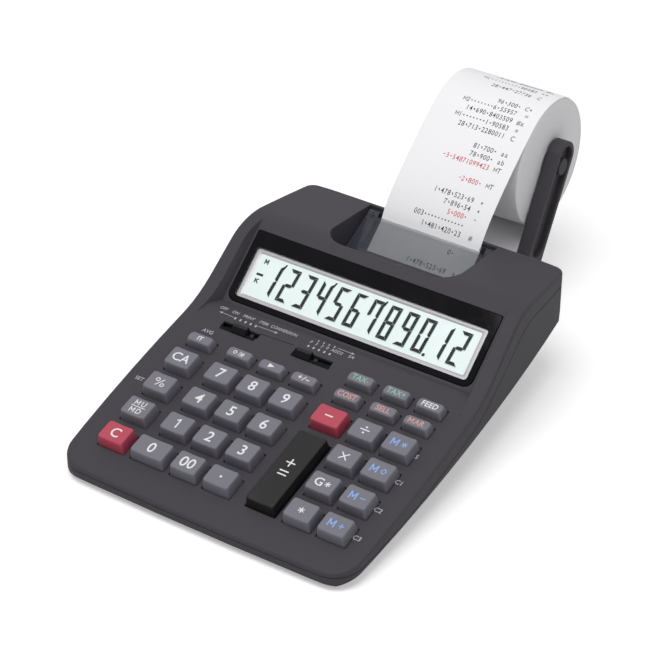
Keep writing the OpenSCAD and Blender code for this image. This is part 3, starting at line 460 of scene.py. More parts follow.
# ---------------------------------------------------------------- letters and signs
def font_mesh(text, bold, slant):
    curve = bpy.data.curves.new("letters", "FONT")
    curve.body, curve.offset, curve.extrude, curve.shear = text, bold, 0.01, slant
    curve.resolution_u, curve.align_x = 3, "CENTER"
    obj = bpy.data.objects.new("letters", curve)
    bpy.context.scene.collection.objects.link(obj)
    return plain_mesh(obj)


def cap_height():
    mesh = font_mesh("H", 0.0, 0.0)
    return max(v.co.y for v in mesh.vertices)


CAP = cap_height()


def letters(shape, text, height, place, at=(0.0, 0.0), bold=0.012, slant=0.0, squeeze=1.0, low=-0.1, high=0.03,
            kind=0, align="CENTER"):
    """Writes text centred at a spot of a surface; place(u, v, height) gives a point of that surface."""
    mesh = font_mesh(text, bold, slant)
    scale = height / CAP
    xs = [v.co.x for v in mesh.vertices]
    middle = {"CENTER": (min(xs) + max(xs)) / 2, "RIGHT": max(xs), "LEFT": min(xs)}[align]
    points = [place(at[0] + (v.co.x - middle) * scale * squeeze, at[1] + (v.co.y - CAP / 2) * scale,
                    high if v.co.z > 0 else low) for v in mesh.vertices]
    shape.put(points, [list(f.vertices) for f in mesh.polygons], kind)


def strokes(shape, lines, thick, place, at=(0.0, 0.0), low=-0.1, high=0.03, kind=0):
    """Straight bars between points, for signs and pointer lines."""
    for (x0, y0), (x1, y1) in lines:
        run = math.hypot(x1 - x0, y1 - y0)
        ux, uy = (x1 - x0) / run * thick / 2, (y1 - y0) / run * thick / 2
        corners = [(x0 - uy, y0 + ux), (x0 + uy, y0 - ux), (x1 + uy, y1 - ux), (x1 - uy, y1 + ux)]
        shape.prism([(at[0] + x, at[1] + y) for x, y in corners], place, low, high, kind)


def letter_m(shape, height, thick, place, at, **more):
    """A capital M of even strokes; it is as wide as it is tall, less its stroke."""
    h, w = height / 2, (height - thick) / 2 * 0.86
    notch = (0, -h * 0.45)
    strokes(shape, [((-w, -h), (-w, h)), ((w, -h), (w, h)), ((-w, h), notch), ((w, h), notch)],
            thick, place, at, **more)


def circle_lines(r, cx, cy, n=10):
    dots = [(cx + u, cy + v) for u, v in disc(r, n)]
    return list(zip(dots, dots[1:] + dots[:1]))


def solid_sign(shape, outline, place, at=(0.0, 0.0), low=-0.1, high=0.03, kind=0):
    shape.prism([(at[0] + x, at[1] + y) for x, y in outline], place, low, high, kind)


def disc(r, n=12):
    return [(r * math.cos(2 * math.pi * i / n), r * math.sin(2 * math.pi * i / n)) for i in range(n)]


# ---------------------------------------------------------------- rows of repeated pieces
def blocks_tree(name, spread, lay):
    """Geometry Nodes: blocks on the points that lay(tree, given) makes, one mesh with its material set."""
    tree = bpy.data.node_groups.new(name, "GeometryNodeTree")
    ids = {}
    for title, kind, value in (("Count", "NodeSocketInt", 5), spread,
                               ("Size", "NodeSocketVector", (1, 1, 1)), ("Finish", "NodeSocketMaterial", None)):
        socket = tree.interface.new_socket(title, in_out="INPUT", socket_type=kind)
        if value is not None:
            socket.default_value = value
        ids[title] = socket.identifier
    tree.interface.new_socket("Blocks", in_out="OUTPUT", socket_type="NodeSocketGeometry")
    given, out = add(tree, "NodeGroupInput").outputs, add(tree, "NodeGroupOutput")
    points, turned = lay(tree, given)
    block = add(tree, "GeometryNodeMeshCube", {"Size": given["Size"]})
    laid = add(tree, "GeometryNodeInstanceOnPoints", {"Points": points, "Instance": block.outputs[0], **turned})
    real = add(tree, "GeometryNodeRealizeInstances", {0: laid.outputs[0]})
    done = add(tree, "GeometryNodeSetMaterial", {"Geometry": real.outputs[0], "Material": given["Finish"]})
    tree.links.new(done.outputs[0], out.inputs[0])
    return tree, ids


def in_a_row(tree, given):
    line = add(tree, "GeometryNodeMeshLine", {"Count": given["Count"], "Offset": given["Step"]})
    return line.outputs[0], {}


def in_a_ring(tree, given):
    """Points round an axis, with each block's X turned outwards."""
    circle = add(tree, "GeometryNodeMeshCircle", {"Vertices": given["Count"], "Radius": given["Radius"]})
    outwards = add(tree, "GeometryNodeInputPosition").outputs[0]
    turn = add(tree, "FunctionNodeAlignRotationToVector", {"Vector": outwards}, axis="X")
    return circle.outputs[0], {"Rotation": turn.outputs[0]}


ROW = blocks_tree("row_of_blocks", ("Step", "NodeSocketVector", (1, 0, 0)), in_a_row)
RING = blocks_tree("ring_of_blocks", ("Radius", "NodeSocketFloat", 1.0), in_a_ring)


def repeated(tree_and_ids, finish, **values):
    """Runs one of the trees above and returns its plain mesh."""
    tree, ids = tree_and_ids
    obj = bpy.data.objects.new("repeated", bpy.data.meshes.new("repeated"))
    bpy.context.scene.collection.objects.link(obj)
    modifier = obj.modifiers.new("repeat", "NODES")
    modifier.node_group = tree
    for title, value in values.items():
        modifier[ids[title]] = value
    modifier[ids["Finish"]] = finish
    return plain_mesh(obj)


def lay_row(shape, mesh, place, kind=0):
    """Puts a repeated mesh, made flat in millimetres, on a surface."""
    shape.put([place(*v.co) for v in mesh.vertices], [list(f.vertices) for f in mesh.polygons], kind)


# ---------------------------------------------------------------- keys
WIDE, DEEP, TALL, FLARE = 13.3, 10.4, 6.0, 0.7
SMALL_WIDE, SMALL_DEEP, SMALL_TALL = 12.6, 5.1, 4.6
ADD_WIDE, ADD_DEEP, ZERO_WIDE = 14.4, 45.2, 17.4
SAG = 0.4
ROWS = [23.25 + 17.8 * row for row in range(4)]
LOW_ROW, TOP_ROW = ROWS[0] + 68.9, ROWS[0] + 80.7
TWO = -18.5
LEFT, ONE, THREE = TWO - 41.5, TWO - 18.5, TWO + 18.5
PLUS, TIMES, MEMORY = 24.3, 44.0, 62.3

# Name: (x, distance up the deck, sign)
KEYS = {
    "clear": (LEFT, ROWS[0], "C"), "markup": (LEFT, ROWS[1], "MU/MD"), "percent": (LEFT, ROWS[2], "%"),
    "recall": (LEFT, ROWS[3], "CA"), "item": (LEFT, LOW_ROW, "IT"), "nonadd": (ONE, LOW_ROW, "diamond#"),
    "backspace": (TWO, LOW_ROW, "arrow"), "sign": (THREE, LOW_ROW, "+/-"),
    "0": (ONE + (WIDE - ZERO_WIDE) / 2, ROWS[0], "0"), "00": (TWO, ROWS[0], "00"), "point": (THREE, ROWS[0], "dot"),
    "add": (PLUS, ROWS[1], "+="), "subtract": (PLUS, ROWS[3], "minus"), "total": (TIMES, ROWS[0], "star"),
    "grand_total": (TIMES, ROWS[1], "Gstar"), "multiply": (TIMES, ROWS[2], "times"),
    "divide": (TIMES, ROWS[3], "divide"), "memory_plus": (MEMORY, ROWS[0], "M+"),
    "memory_minus": (MEMORY, ROWS[1], "M-"), "memory_subtotal": (MEMORY, ROWS[2], "Mdiamond"),
    "memory_total": (MEMORY, ROWS[3], "Mstar"), "cost": (PLUS, LOW_ROW, "COST"), "sell": (TIMES, LOW_ROW, "SELL"),
    "margin": (MEMORY, LOW_ROW, "MAR"), "tax_minus": (PLUS, TOP_ROW, "TAX-"), "tax_plus": (TIMES, TOP_ROW, "TAX+"),
    "feed": (MEMORY, TOP_ROW, "FEED"),
}
for number, (x, row) in enumerate(((x, row) for row in (1, 2, 3) for x in (ONE, TWO, THREE)), 1):
    KEYS[str(number)] = (x, ROWS[row], str(number))
OTHER_SIZES = {"0": (ZERO_WIDE, DEEP), "add": (ADD_WIDE, ADD_DEEP), "subtract": (ADD_WIDE, DEEP)}
OTHER_COLOURS = {"clear": RED, "subtract": RED, "add": BLACK}


def key_cap(name, x, s):
    """One key: skirt and flange below the deck, flared sides, round edges and a top dished across."""
    small, finish = s >= LOW_ROW, OTHER_COLOURS.get(name, KEY)
    w, l = (SMALL_WIDE, SMALL_DEEP) if small else OTHER_SIZES.get(name, (WIDE, DEEP))
    tall = SMALL_TALL if small else TALL
    sag = 0.2 if small else SAG
    corner = 1.9 if small else 1.4

    def dip(u, share=1.0):
        return -sag * share * (1 - min(1.0, (2 * u / w) ** 2))

    rings = []
    foot = FLARE * 2
    for grow, z, r, bent in ((foot + 1.6, -3.0, 0.6, 0), (foot + 1.6, -2.2, 0.6, 0), (foot, -2.2, 0.55, 0),
                             (foot, 0.0, 0.65, 0), (foot * 0.7, tall * 0.45, 1.0, 0.3),
                             (foot * 0.4, tall - 0.7, corner, 0.75), (foot * 0.22, tall - 0.38, corner, 0.9),
                             (-0.05, tall - 0.16, corner, 1), (-0.36, tall - 0.04, corner, 1),
                             (-0.8, tall - 0.01, corner, 1)):
        outline = rounded(w + grow, l + grow, r, along=7)
        rings.append([on_deck(x + u, s + v, z + dip(u, bent)) for u, v in outline])
    outer = rounded(w - 0.8, l - 0.8, corner, along=7)
    for share in (0.75, 0.5, 0.25):
        rings.append([on_deck(x + u * share, s + v * share, tall - 0.01 + dip(u * share)) for u, v in outer])
    shape = Shape()
    shape.rings(rings)
    shape.points[-1] = on_deck(x, s, tall - 0.01 + dip(0))
    slot = {RED.name: "key_red", BLACK.name: "key_black"}.get(finish.name, "key_grey")
    shape.piece("cap_" + name, "key_%s_cap" % name, finish, slot, ["key_" + name], sharp=60)

    def top(u, v, height):
        return on_deck(x + u, s + v, tall - 0.01 + dip(u) + height)
    return top


STAR = [((math.cos(a) * 1.5, math.sin(a) * 1.5), (-math.cos(a) * 1.5, -math.sin(a) * 1.5))
        for a in (math.radians(90), math.radians(30), math.radians(150))]
DIAMOND = [((0, 1.6), (1.35, 0)), ((1.35, 0), (0, -1.6)), ((0, -1.6), (-1.35, 0)), ((-1.35, 0), (0, 1.6))]


def scaled(lines, k):
    return [((a * k, b * k), (c * k, d * k)) for (a, b), (c, d) in lines]


# Signs made of straight strokes: thickness, lines
STROKED = {
    "1": (0.75, [((0.35, -2.8), (0.35, 2.8)), ((0.45, 2.7), (-1.15, 1.5))]),
    "+/-": (0.45, [((-3.3, 0.2), (-1.1, 0.2)), ((-2.2, -0.9), (-2.2, 1.3)), ((-0.5, -1.3), (0.7, 1.4)),
                   ((1.2, -0.3), (3.3, -0.3))]),
    "+=": (0.72, [((-2.4, 3.4), (2.4, 3.4)), ((0, 1.0), (0, 5.8)), ((-2.4, -2.0), (2.4, -2.0)),
                  ((-2.4, -4.2), (2.4, -4.2))]),
    "minus": (0.75, [((-2.1, 0), (2.1, 0))]),
    "times": (0.62, [((-2.0, -2.0), (2.0, 2.0)), ((-2.0, 2.0), (2.0, -2.0))]),
    "star": (0.5, scaled(STAR, 1.1)),
}


def legend(name, sign, top):
    """The printed sign of one key, laid on its dished top."""
    shape, colour = Shape(), WHITE
    if sign in STROKED:
        thick, lines = STROKED[sign]
        strokes(shape, lines, thick, top)
    elif sign == "%":
        rings = circle_lines(0.95, -1.85, 1.25) + circle_lines(0.95, 1.85, -1.25)
        strokes(shape, [((-1.5, -2.3), (1.5, 2.3))] + rings, 0.5, top)
    elif sign in ("C", "CA", "00") or sign.isdigit():
        size = {"C": 5.2, "CA": 4.9}.get(sign, 5.6)
        letters(shape, sign, size, top, bold=0.012, squeeze=0.98)
    elif sign == "MU/MD":
        for letter, v in (("U", 2.35), ("D", -2.3)):
            letter_m(shape, 3.0, 0.45, top, (-1.85, v))
            letters(shape, letter, 3.0, top, (1.75, v), squeeze=0.9)
        strokes(shape, [((-3.9, 0.05), (3.9, 0.05))], 0.42, top)
    elif sign == "IT":
        letters(shape, "IT", 2.5, top, bold=0.02)
    elif sign == "diamond#":
        strokes(shape, scaled(DIAMOND, 0.72), 0.42, top, (-2.4, 0))
        letters(shape, "/#", 2.5, top, (1.2, 0), bold=0.01)
    elif sign == "arrow":
        solid_sign(shape, [(-1.6, -1.3), (1.7, 0), (-1.6, 1.3)], top)
    elif sign == "dot":
        solid_sign(shape, disc(0.62), top)
    elif sign == "divide":
        strokes(shape, [((-2.5, 0), (2.5, 0))], 0.62, top)
        solid_sign(shape, disc(0.55), top, (0, 1.75))
        solid_sign(shape, disc(0.55), top, (0, -1.75))
    elif sign == "Gstar":
        letters(shape, "G", 4.4, top, (-2.0, 0))
        strokes(shape, scaled(STAR, 1.0), 0.48, top, (2.6, 0))
    elif sign.startswith("M") and name.startswith("memory"):
        colour = BLUE
        letter_m(shape, 4.1, 0.62, top, (-2.1, 0))
        extra = {"M+": [((-1.4, 0), (1.4, 0)), ((0, -1.4), (0, 1.4))], "M-": [((-1.4, 0), (1.4, 0))],
                 "Mdiamond": DIAMOND, "Mstar": STAR}[sign]
        strokes(shape, extra, 0.48, top, (2.9, 0))
    else:
        colour = {"T": GREEN, "F": WHITE}.get(sign[0], PINK)
        letters(shape, sign.replace("MAR", "AR"), 3.0, top, (1.3 * (sign == "MAR"), 0), bold=0.014,
                squeeze=0.9 if len(sign) < 5 else 0.82)
        if sign == "MAR":
            letter_m(shape, 3.0, 0.45, top, (-3.1, 0))
    shape.piece("legend_" + name, "key_%s_cap" % name, colour, sharp=30)


for name, (x, s, sign) in KEYS.items():
    legend(name, sign, key_cap(name, x, s))


# ---------------------------------------------------------------- case
def outer_edge(middle, edge):
    """Broad rounding on the rim of the top, none on edges near each side from 108 to 162 mm behind the front, small
    on every other edge.
    """
    x, d, z = middle.x / MM, middle.y / MM + HALF_CASE, middle.z / MM
    rim = abs(x) > half_width(d) - 5 or d < 6
    ups = sorted(f.normal.z for f in edge.link_faces)
    if rim and ups[1] > 0.55 and ups[0] < 0.4 and z > 6.5:
        return 1.0
    if d > 204.8:
        return 0.35
    if 62 < abs(x) < 78 and 108 < d < 162:
        return 0.0
    return 0.22


dressed("upper_case", "top_shell", "case", CASE, 1.5, outer_edge, segments=3)
dressed("lower_case", "base_shell", "case", CASE, 0.4)
dressed("roll_holder", "roll_arms", "holder", CASE, 0.5, segments=3)
dressed("battery_door", "cell_door", "door", CASE, 0.25)
dressed("dc_jack", "socket_block", "case", DARK, 0.3)
dressed("rubber_feet", "feet", "case", RUBBER, 0.6)


SLOT_S = 108.85  # middle of both switch slots, up the deck


def switch_knob(name, x, body, node):
    """Slider of a switch: a ridged top, a finger slope in front and the foot plate under the deck; the stem and the
    slope are painted black as the shade in the slot.
    """
    shape = Shape()
    shape.rings([[on_deck(x + u, SLOT_S + v, n) for u, v in rounded(12.4, 6.2, 0.3, 2)] for n in (-3.1, -2.3)])
    # The stem and the finger slope take the slot's painted shade.
    shape.rings([[on_deck(x + u, SLOT_S + v, n) for u, v in rounded(8.4, 2.8, 0.3, 2)] for n in (-2.4, 0.3)], 1)
    slope = [(1.3, 0.2), (1.3, 2.0), (1.1, 2.2), (-0.9, 2.2), (-1.3, 2.05), (-3.4, 0.5), (-3.4, 0.2)]
    shape.rings([[on_deck(x + u, SLOT_S + v, n) for v, n in slope] for u in (-4.2, 4.2)], 1)
    for ridge in range(-3, 4):
        shape.rings([[on_deck(x + ridge * 1.1 + u, SLOT_S + 0.15 + v, n) for u, v in rounded(w, 1.9, 0.1, 2)]
                     for w, n in ((0.7, 2.15), (0.5, 2.4))])
    shape.piece(name, body, [CASE, PAINTED_SLOT_SHADE], "knob", [node], sharp=25)


switch_knob("power_slider", -48.1, "power_knob", "power_switch_knob")
switch_knob("rounding_slider", -11.0, "rounding_knob", "rounding_switch_knob")


# ---------------------------------------------------------------- printing on the deck
def deck_printing():
    shape = Shape()
    for text, x, s, size in (("AVG", -62.6, 101.0, 2.1), ("SET", -74.4, 60.4, 2.1), ("C3", 71.9, 24.5, 2.4),
                             ("C2", 71.8, 42.4, 2.4), ("C1", 71.5, 60.4, 2.4), ("S", 70.8, 77.3, 2.4)):
        letters(shape, text, size, on_deck, (x, s), bold=0.01, slant=0.08)
    names_s, ticks_s, marks_s = 117.7, 114.3, 119.3
    for text, x in (("OFF", -64.2), ("ON", -57.3), ("PRINT", -49.4), ("ITEM", -40.7), ("CONVERSION", -28.8),
                    ("F", -12.7), ("3", -9.7), ("2", -6.5), ("0", -3.5), ("ADD2", 1.9), ("5/4", 10.0)):
        name_s = names_s - 0.5 * (x > -20)
        letters(shape, text, 1.75, on_deck, (x, name_s), bold=0.004, slant=0.12, squeeze=0.95)
    # Pointer lines and marks beside the switches
    strokes(shape, [((-63.7, ticks_s + 0.5), (-56.4, ticks_s + 0.2)),
                    ((-42.3, ticks_s + 0.4), (-32.6, ticks_s + 0.6)), ((1.2, marks_s), (9.0, marks_s))],
            0.22, on_deck)
    for x, s, way in ((-31.6, ticks_s + 0.6, 1), (9.8, marks_s, 1), (-64.2, ticks_s + 0.5, -1)):
        tip = [(u * way, v * way) for u, v in ((-0.9, -0.65), (0.9, 0), (-0.9, 0.65))]
        solid_sign(shape, tip, on_deck, (x, s))
    for x, s, count, size in ((-55.4, ticks_s, 5, (0.9, 1.4, 0.12)), (-12.6, ticks_s, 5, (0.9, 1.3, 0.12)),
                              (-9.9, marks_s, 4, (0.6, 0.9, 0.12))):
        ticks = repeated(ROW, PALE, Count=count, Step=(3.05, 0, 0), Size=size)
        lay_row(shape, ticks, lambda u, v, n, x=x, s=s: on_deck(x + u, s + v, n - 0.03))
    shape.piece("deck_printing", "case", PALE, sharp=30)
    # Black strips painted on the deck in front of the slots as the shade in them, and a black line painted as the
    # shade of the fine groove between them
    painted_shade_marks = Shape()
    for x0, x1 in ((-58.9, -38.6), (-17.4, 4.6)):
        painted_shade_marks.prism([(x0, 105.2), (x1, 105.2), (x1, 107.1), (x0, 107.1)], on_deck, -0.1, 0.03)
    strokes(painted_shade_marks, [((-38.5, 110.9), (-19.2, 111.6))], 0.3, on_deck)
    painted_shade_marks.piece("slot_painted_shade_strips", "case", PAINTED_SLOT_SHADE, sharp=30)


deck_printing()


# ---------------------------------------------------------------- display
LCD_X, LCD_S = 0.0, 16.55  # middle of the display, across and up the lens
GLASS_N = -1.95  # depth of the glass behind the lens's face
LENS_WIDE, LENS_DEEP, LENS_S = 139.5, 38.3, 19.2


def display():
    lens = Shape()
    broad, tight = (rounded(LENS_WIDE, LENS_DEEP, r, 4, 0, LENS_S) for r in (4.9, 1.2))
    corners = [low if low[1] < LENS_S else high for low, high in zip(broad, tight)]

    def shrunk(by):
        return [(u * (1 - by / 69.8), LENS_S + (v - LENS_S) * (1 - by / 19.2)) for u, v in corners]
    hole = rounded(132.3, 26.8, 1.7, 4, LCD_X, LCD_S)
    section = ((hole, -1.97), (corners, -1.97), (corners, -0.25), (shrunk(0.25), 0.02), (hole, 0.02))
    lens.rings([[on_lens(u, v, n) for u, v in outline] for outline, n in section], closed=True)
    lens.piece("lens_border", "case", LENS, "lens", ["display_lens"], sharp=30)
    pane = Shape()
    pane.prism(hole, on_lens, -0.5, 0.01)
    pane.piece("lens_pane", "case", CLEAR, "lens", sharp=20)

    silver = Shape()
    face, body = (LCD_X, LCD_S), (-1.8, 17.15)
    # Width, length, corner, depth and middle: up the outside, over the face and down the inside
    section = (
        (129.2, 23.5, 1.0, -7.2, body), (129.2, 23.5, 1.0, -2.0, body), (132.1, 26.6, 1.7, -1.97, face),
        (132.1, 26.6, 1.7, -1.5, face), (131.9, 26.4, 1.6, -1.33, face), (128.6, 24.0, 1.2, -1.33, face),
        (126.2, 22.3, 0.8, GLASS_N, face), (124.9, 21.4, 0.8, -2.0, face), (124.9, 21.4, 0.8, -7.2, face))
    silver.rings([[on_lens(u, v, n) for u, v in rounded(w, l, r, 4, *middle)]
                  for w, l, r, n, middle in section], closed=True)
    silver.piece("display_frame", "case", SILVER, "lcd", ["lcd_module"], sharp=25)
    # The display glass's material carries a painted glow.
    glass = Shape()
    glass.rings([[on_lens(u, v, n) for u, v in rounded(w, l, 0.8, 3, *face)] for w, l, n in
                 ((124.8, 21.3, -7.0), (124.8, 21.3, -2.0), (126.1, 22.2, -1.97), (126.1, 22.2, GLASS_N))])
    glass.piece("display_glass", "case", LCD, "lcd", sharp=20)
    digits()


# Segments lit for each figure: top, upper right, lower right, bottom, lower left, upper left, middle
LIT = {"0": "012345", "1": "12", "2": "01346", "3": "01236", "4": "1256", "5": "02356", "6": "023456",
       "7": "0125", "8": "0123456", "9": "012356"}


def segment(n):
    """Outline of one segment in an upright cell of one figure, with slanting ends."""
    w, h, t, gap = 6.1, 17.7, 1.75, 0.06
    mid = h / 2
    if n == 0:
        return [(gap, h), (w - gap, h), (w - t - gap, h - t), (t + gap, h - t)]
    if n == 3:
        return [(t + gap, t), (w - t - gap, t), (w - gap, 0), (gap, 0)]
    if n == 6:
        return [(t * 0.5 + gap, mid), (t + gap, mid + t / 2), (w - t - gap, mid + t / 2),
                (w - t * 0.5 - gap, mid), (w - t - gap, mid - t / 2), (t + gap, mid - t / 2)]
    upper = n in (1, 5)
    low, high = (mid, h) if upper else (0, mid)
    if upper:
        outline = [(w, high - gap), (w, low + 0.1 + gap), (w - t * 0.5, low + gap), (w - t, low + t / 2 + gap),
                   (w - t, high - t - gap)]
    else:
        outline = [(w, low + gap), (w - t, low + t + gap), (w - t, high - t / 2 - gap),
                   (w - t * 0.5, high - gap), (w, high - 0.1 - gap)]
    if n in (4, 5):
        outline = [(w - u, v) for u, v in outline]
    return outline


def digits():
    """The lit figures, and pale offset copies of them painted as their shadows on the reflector."""
    slant, first, pitch, foot = 0.078, -55.4, 9.73, 7.95
    on, faint, under = GLASS_N + 0.05, GLASS_N + 0.015, GLASS_N - 0.01
    depth = {"low": under, "high": on}
    ink, pale = Shape(), Shape()

    def cell(x0, dx=0.0, ds=0.0):
        return lambda u, v, n: on_lens(x0 + dx + u + v * slant, foot + ds + v, n)
    for place, text in enumerate("123456789012"):
        for n in LIT[text]:
            x0 = first + pitch * place
            ink.prism(segment(int(n)), cell(x0), under, on)
            # Each pale copy, set a little off its figure, is a painted shadow.
            pale.prism(segment(int(n)), cell(x0, 0.35, -0.45), under, faint)
    apostrophe = [(0, 0), (0.9, 0.2), (1.5, 2.9), (0.5, 2.9)]
    for place in (0, 3, 6):
        ink.prism(apostrophe, cell(first + pitch * place + 6.75, 0, 15.6), under, on)
    ink.prism(disc(0.85), cell(first + pitch * 9 + 7.6, 0, 0.1), under, on)
    letter_m(ink, 2.6, 0.55, on_lens, (-58.6, 24.5), **depth)
    strokes(ink, [((-0.9, -1.2), (-0.9, 1.2)), ((-0.8, -0.1), (0.9, 1.2)), ((-0.4, 0.1), (1.0, -1.2))], 0.6,
            on_lens, (-59.3, 13.9), **depth)
    strokes(ink, [((-61.0, 17.3), (-57.2, 17.3))], 1.2, on_lens, **depth)
    ink.piece("display_figures", "case", SEGMENT, sharp=20)
    pale.piece("display_painted_shadows", "case", PAINTED_FIGURE_SHADOW, sharp=20)


display()


# ---------------------------------------------------------------- printer
dressed("printer_cover", "smoky_window", "cover", SMOKE, 0.3)
dressed("printer_frame", "mechanism_frame", "case", DARK, 0.25)
dressed("platen_roller", "platen", "platen", RUBBER, 0.2)
dressed("ink_roller", "ink_roll", "inker", FELT, 0.2)


def type_drum():
    """The drum with its bars of raised type."""
    shape = Shape()
    drum = merged_copy("print_drum")
    shape.put([v.co for v in drum.vertices], [list(f.vertices) for f in drum.polygons])
    for x in range(-27, 28, 3):
        ring = repeated(RING, DRUM, Count=14, Radius=5.85, Size=(0.35, 1.3, 2.0))
        shape.put([in_case(x + v.co.z, DRUM_AT[0] + v.co.x, DRUM_AT[1] + v.co.y) for v in ring.vertices],
                  [list(f.vertices) for f in ring.polygons])
    shape.piece("type_drum", "drum", DRUM, "drum", ["print_drum"], sharp=30)


type_drum()


# ---------------------------------------------------------------- paper
PAPER_HALF = 28.5
WRAP_R = 34.35  # the tape and the web lie on the roll at this radius
EXIT_AT = (202.3, 56.45)  # where the tape leaves the case


def polar(centre, r, degrees):
    turn = math.radians(degrees)
    return centre[0] + r * math.cos(turn), centre[1] + r * math.sin(turn)


def arc(centre, r, a0, a1, n):
    return [polar(centre, r, a0 + (a1 - a0) * i / n) for i in range(n + 1)]


def bow(a, m, b, n):
    return [tuple((1 - t) ** 2 * a[k] + 2 * t * (1 - t) * m[k] + t * t * b[k] for k in (0, 1))
            for t in (i / n for i in range(n + 1))]


def tape_path():
    """The tape's side view, from the inlet round the platen to the roll: (d, z) points."""
    turn, inlet, rise, leaves_at = 6.85, (198.5, 25.4), math.radians(39.5), 126
    v = (inlet[0] - PLATEN_AT[0], inlet[1] - PLATEN_AT[1])
    start = math.degrees(math.atan2(v[1], v[0]) - math.acos(turn / math.hypot(*v)))
    climb = (math.cos(rise), math.sin(rise))
    top = (PLATEN_AT[0] - turn * climb[1], PLATEN_AT[1] + turn * climb[0])
    bend = tuple(top[k] + (198.9 - top[0]) / climb[0] * climb[k] for k in (0, 1))
    leave = polar(ROLL_AT, WRAP_R, leaves_at)
    back = polar(leave, 49, leaves_at + 90)
    return ([inlet] + arc(PLATEN_AT, turn, start, -230.5, 20)
            + bow(bend, (bend[0] + 2.7 * climb[0], bend[1] + 2.7 * climb[1]), EXIT_AT, 10)
            + bow((EXIT_AT[0] + 0.3, EXIT_AT[1] + 0.6), back, leave, 28)
            + arc(ROLL_AT, WRAP_R, 124.5, 56, 20))


TAPE = tape_path()


def ribbon_sides(path, thick):
    """Points on the two sides of a ribbon along a path."""
    over, under = [], []
    for i, (d, z) in enumerate(path):
        a, b = path[max(0, i - 1)], path[min(len(path) - 1, i + 1)]
        run = math.hypot(b[0] - a[0], b[1] - a[1])
        nd, nz = -(b[1] - a[1]) / run * thick / 2, (b[0] - a[0]) / run * thick / 2
        over.append((d + nd, z + nz))
        under.append((d - nd, z - nz))
    return over, under


def ribbon(name, path, body, replaces, thick=0.16):
    """A strip of paper, flat across, with a wall of its own thickness."""
    over, under = ribbon_sides(path, thick)
    section = over + under[::-1]
    shape = Shape()
    columns = [-PAPER_HALF + 2 * PAPER_HALF * i / 6 for i in range(7)]
    n = len(section)
    points = [in_case(x, d, z) for x in columns for d, z in section]
    faces = [[j * n + i, j * n + (i + 1) % n, (j + 1) * n + (i + 1) % n, (j + 1) * n + i]
             for j in range(len(columns) - 1) for i in range(n)]
    half = len(path)
    for first, order in ((0, 1), ((len(columns) - 1) * n, -1)):
        faces += [[first + i, first + i + 1, first + n - 2 - i, first + n - 1 - i][::order]
                  for i in range(half - 1)]
    shape.put(points, faces)
    return shape.piece(name, body, PAPER, "paper", replaces, sharp=40)


tape = ribbon("printed_tape", TAPE, None, ["paper_tape"])
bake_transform(tape)


def web_path():
    start = (198.9, 25.4)
    v = (start[0] - ROLL_AT[0], start[1] - ROLL_AT[1])
    touch = math.degrees(math.atan2(v[1], v[0]) + math.acos(WRAP_R / math.hypot(*v))) + 0.5
    far = arc(ROLL_AT, WRAP_R, touch, touch + 12, 4)
    near = [tuple(start[k] + (far[0][k] - start[k]) * i / 8 for k in (0, 1)) for i in range(8)]
    return near + far


web = ribbon("supply_strip", web_path(), None, ["supply_web"])
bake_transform(web)


def tape_lengths():
    """How far along the tape each point of its path lies."""
    total, lengths = 0.0, [0.0]
    for (d0, z0), (d1, z1) in zip(TAPE, TAPE[1:]):
        total += math.hypot(d1 - d0, z1 - z0)
        lengths.append(total)
    return lengths


LENGTHS = tape_lengths()
EXIT_LENGTH = LENGTHS[TAPE.index(EXIT_AT)]


def on_tape(x, run, n):
    """A point of the printed side, run millimetres up the tape from the exit."""
    run += EXIT_LENGTH
    i = max(1, next((k for k, l in enumerate(LENGTHS) if l >= run), len(LENGTHS) - 1))
    (d0, z0), (d1, z1) = TAPE[i - 1], TAPE[i]
    t = (run - LENGTHS[i - 1]) / (LENGTHS[i] - LENGTHS[i - 1])
    span = math.hypot(d1 - d0, z1 - z0)
    nd, nz = -(z1 - z0) / span, (d1 - d0) / span
    return in_case(x, d0 + (d1 - d0) * t + nd * n, z0 + (z1 - z0) * t + nz * n)


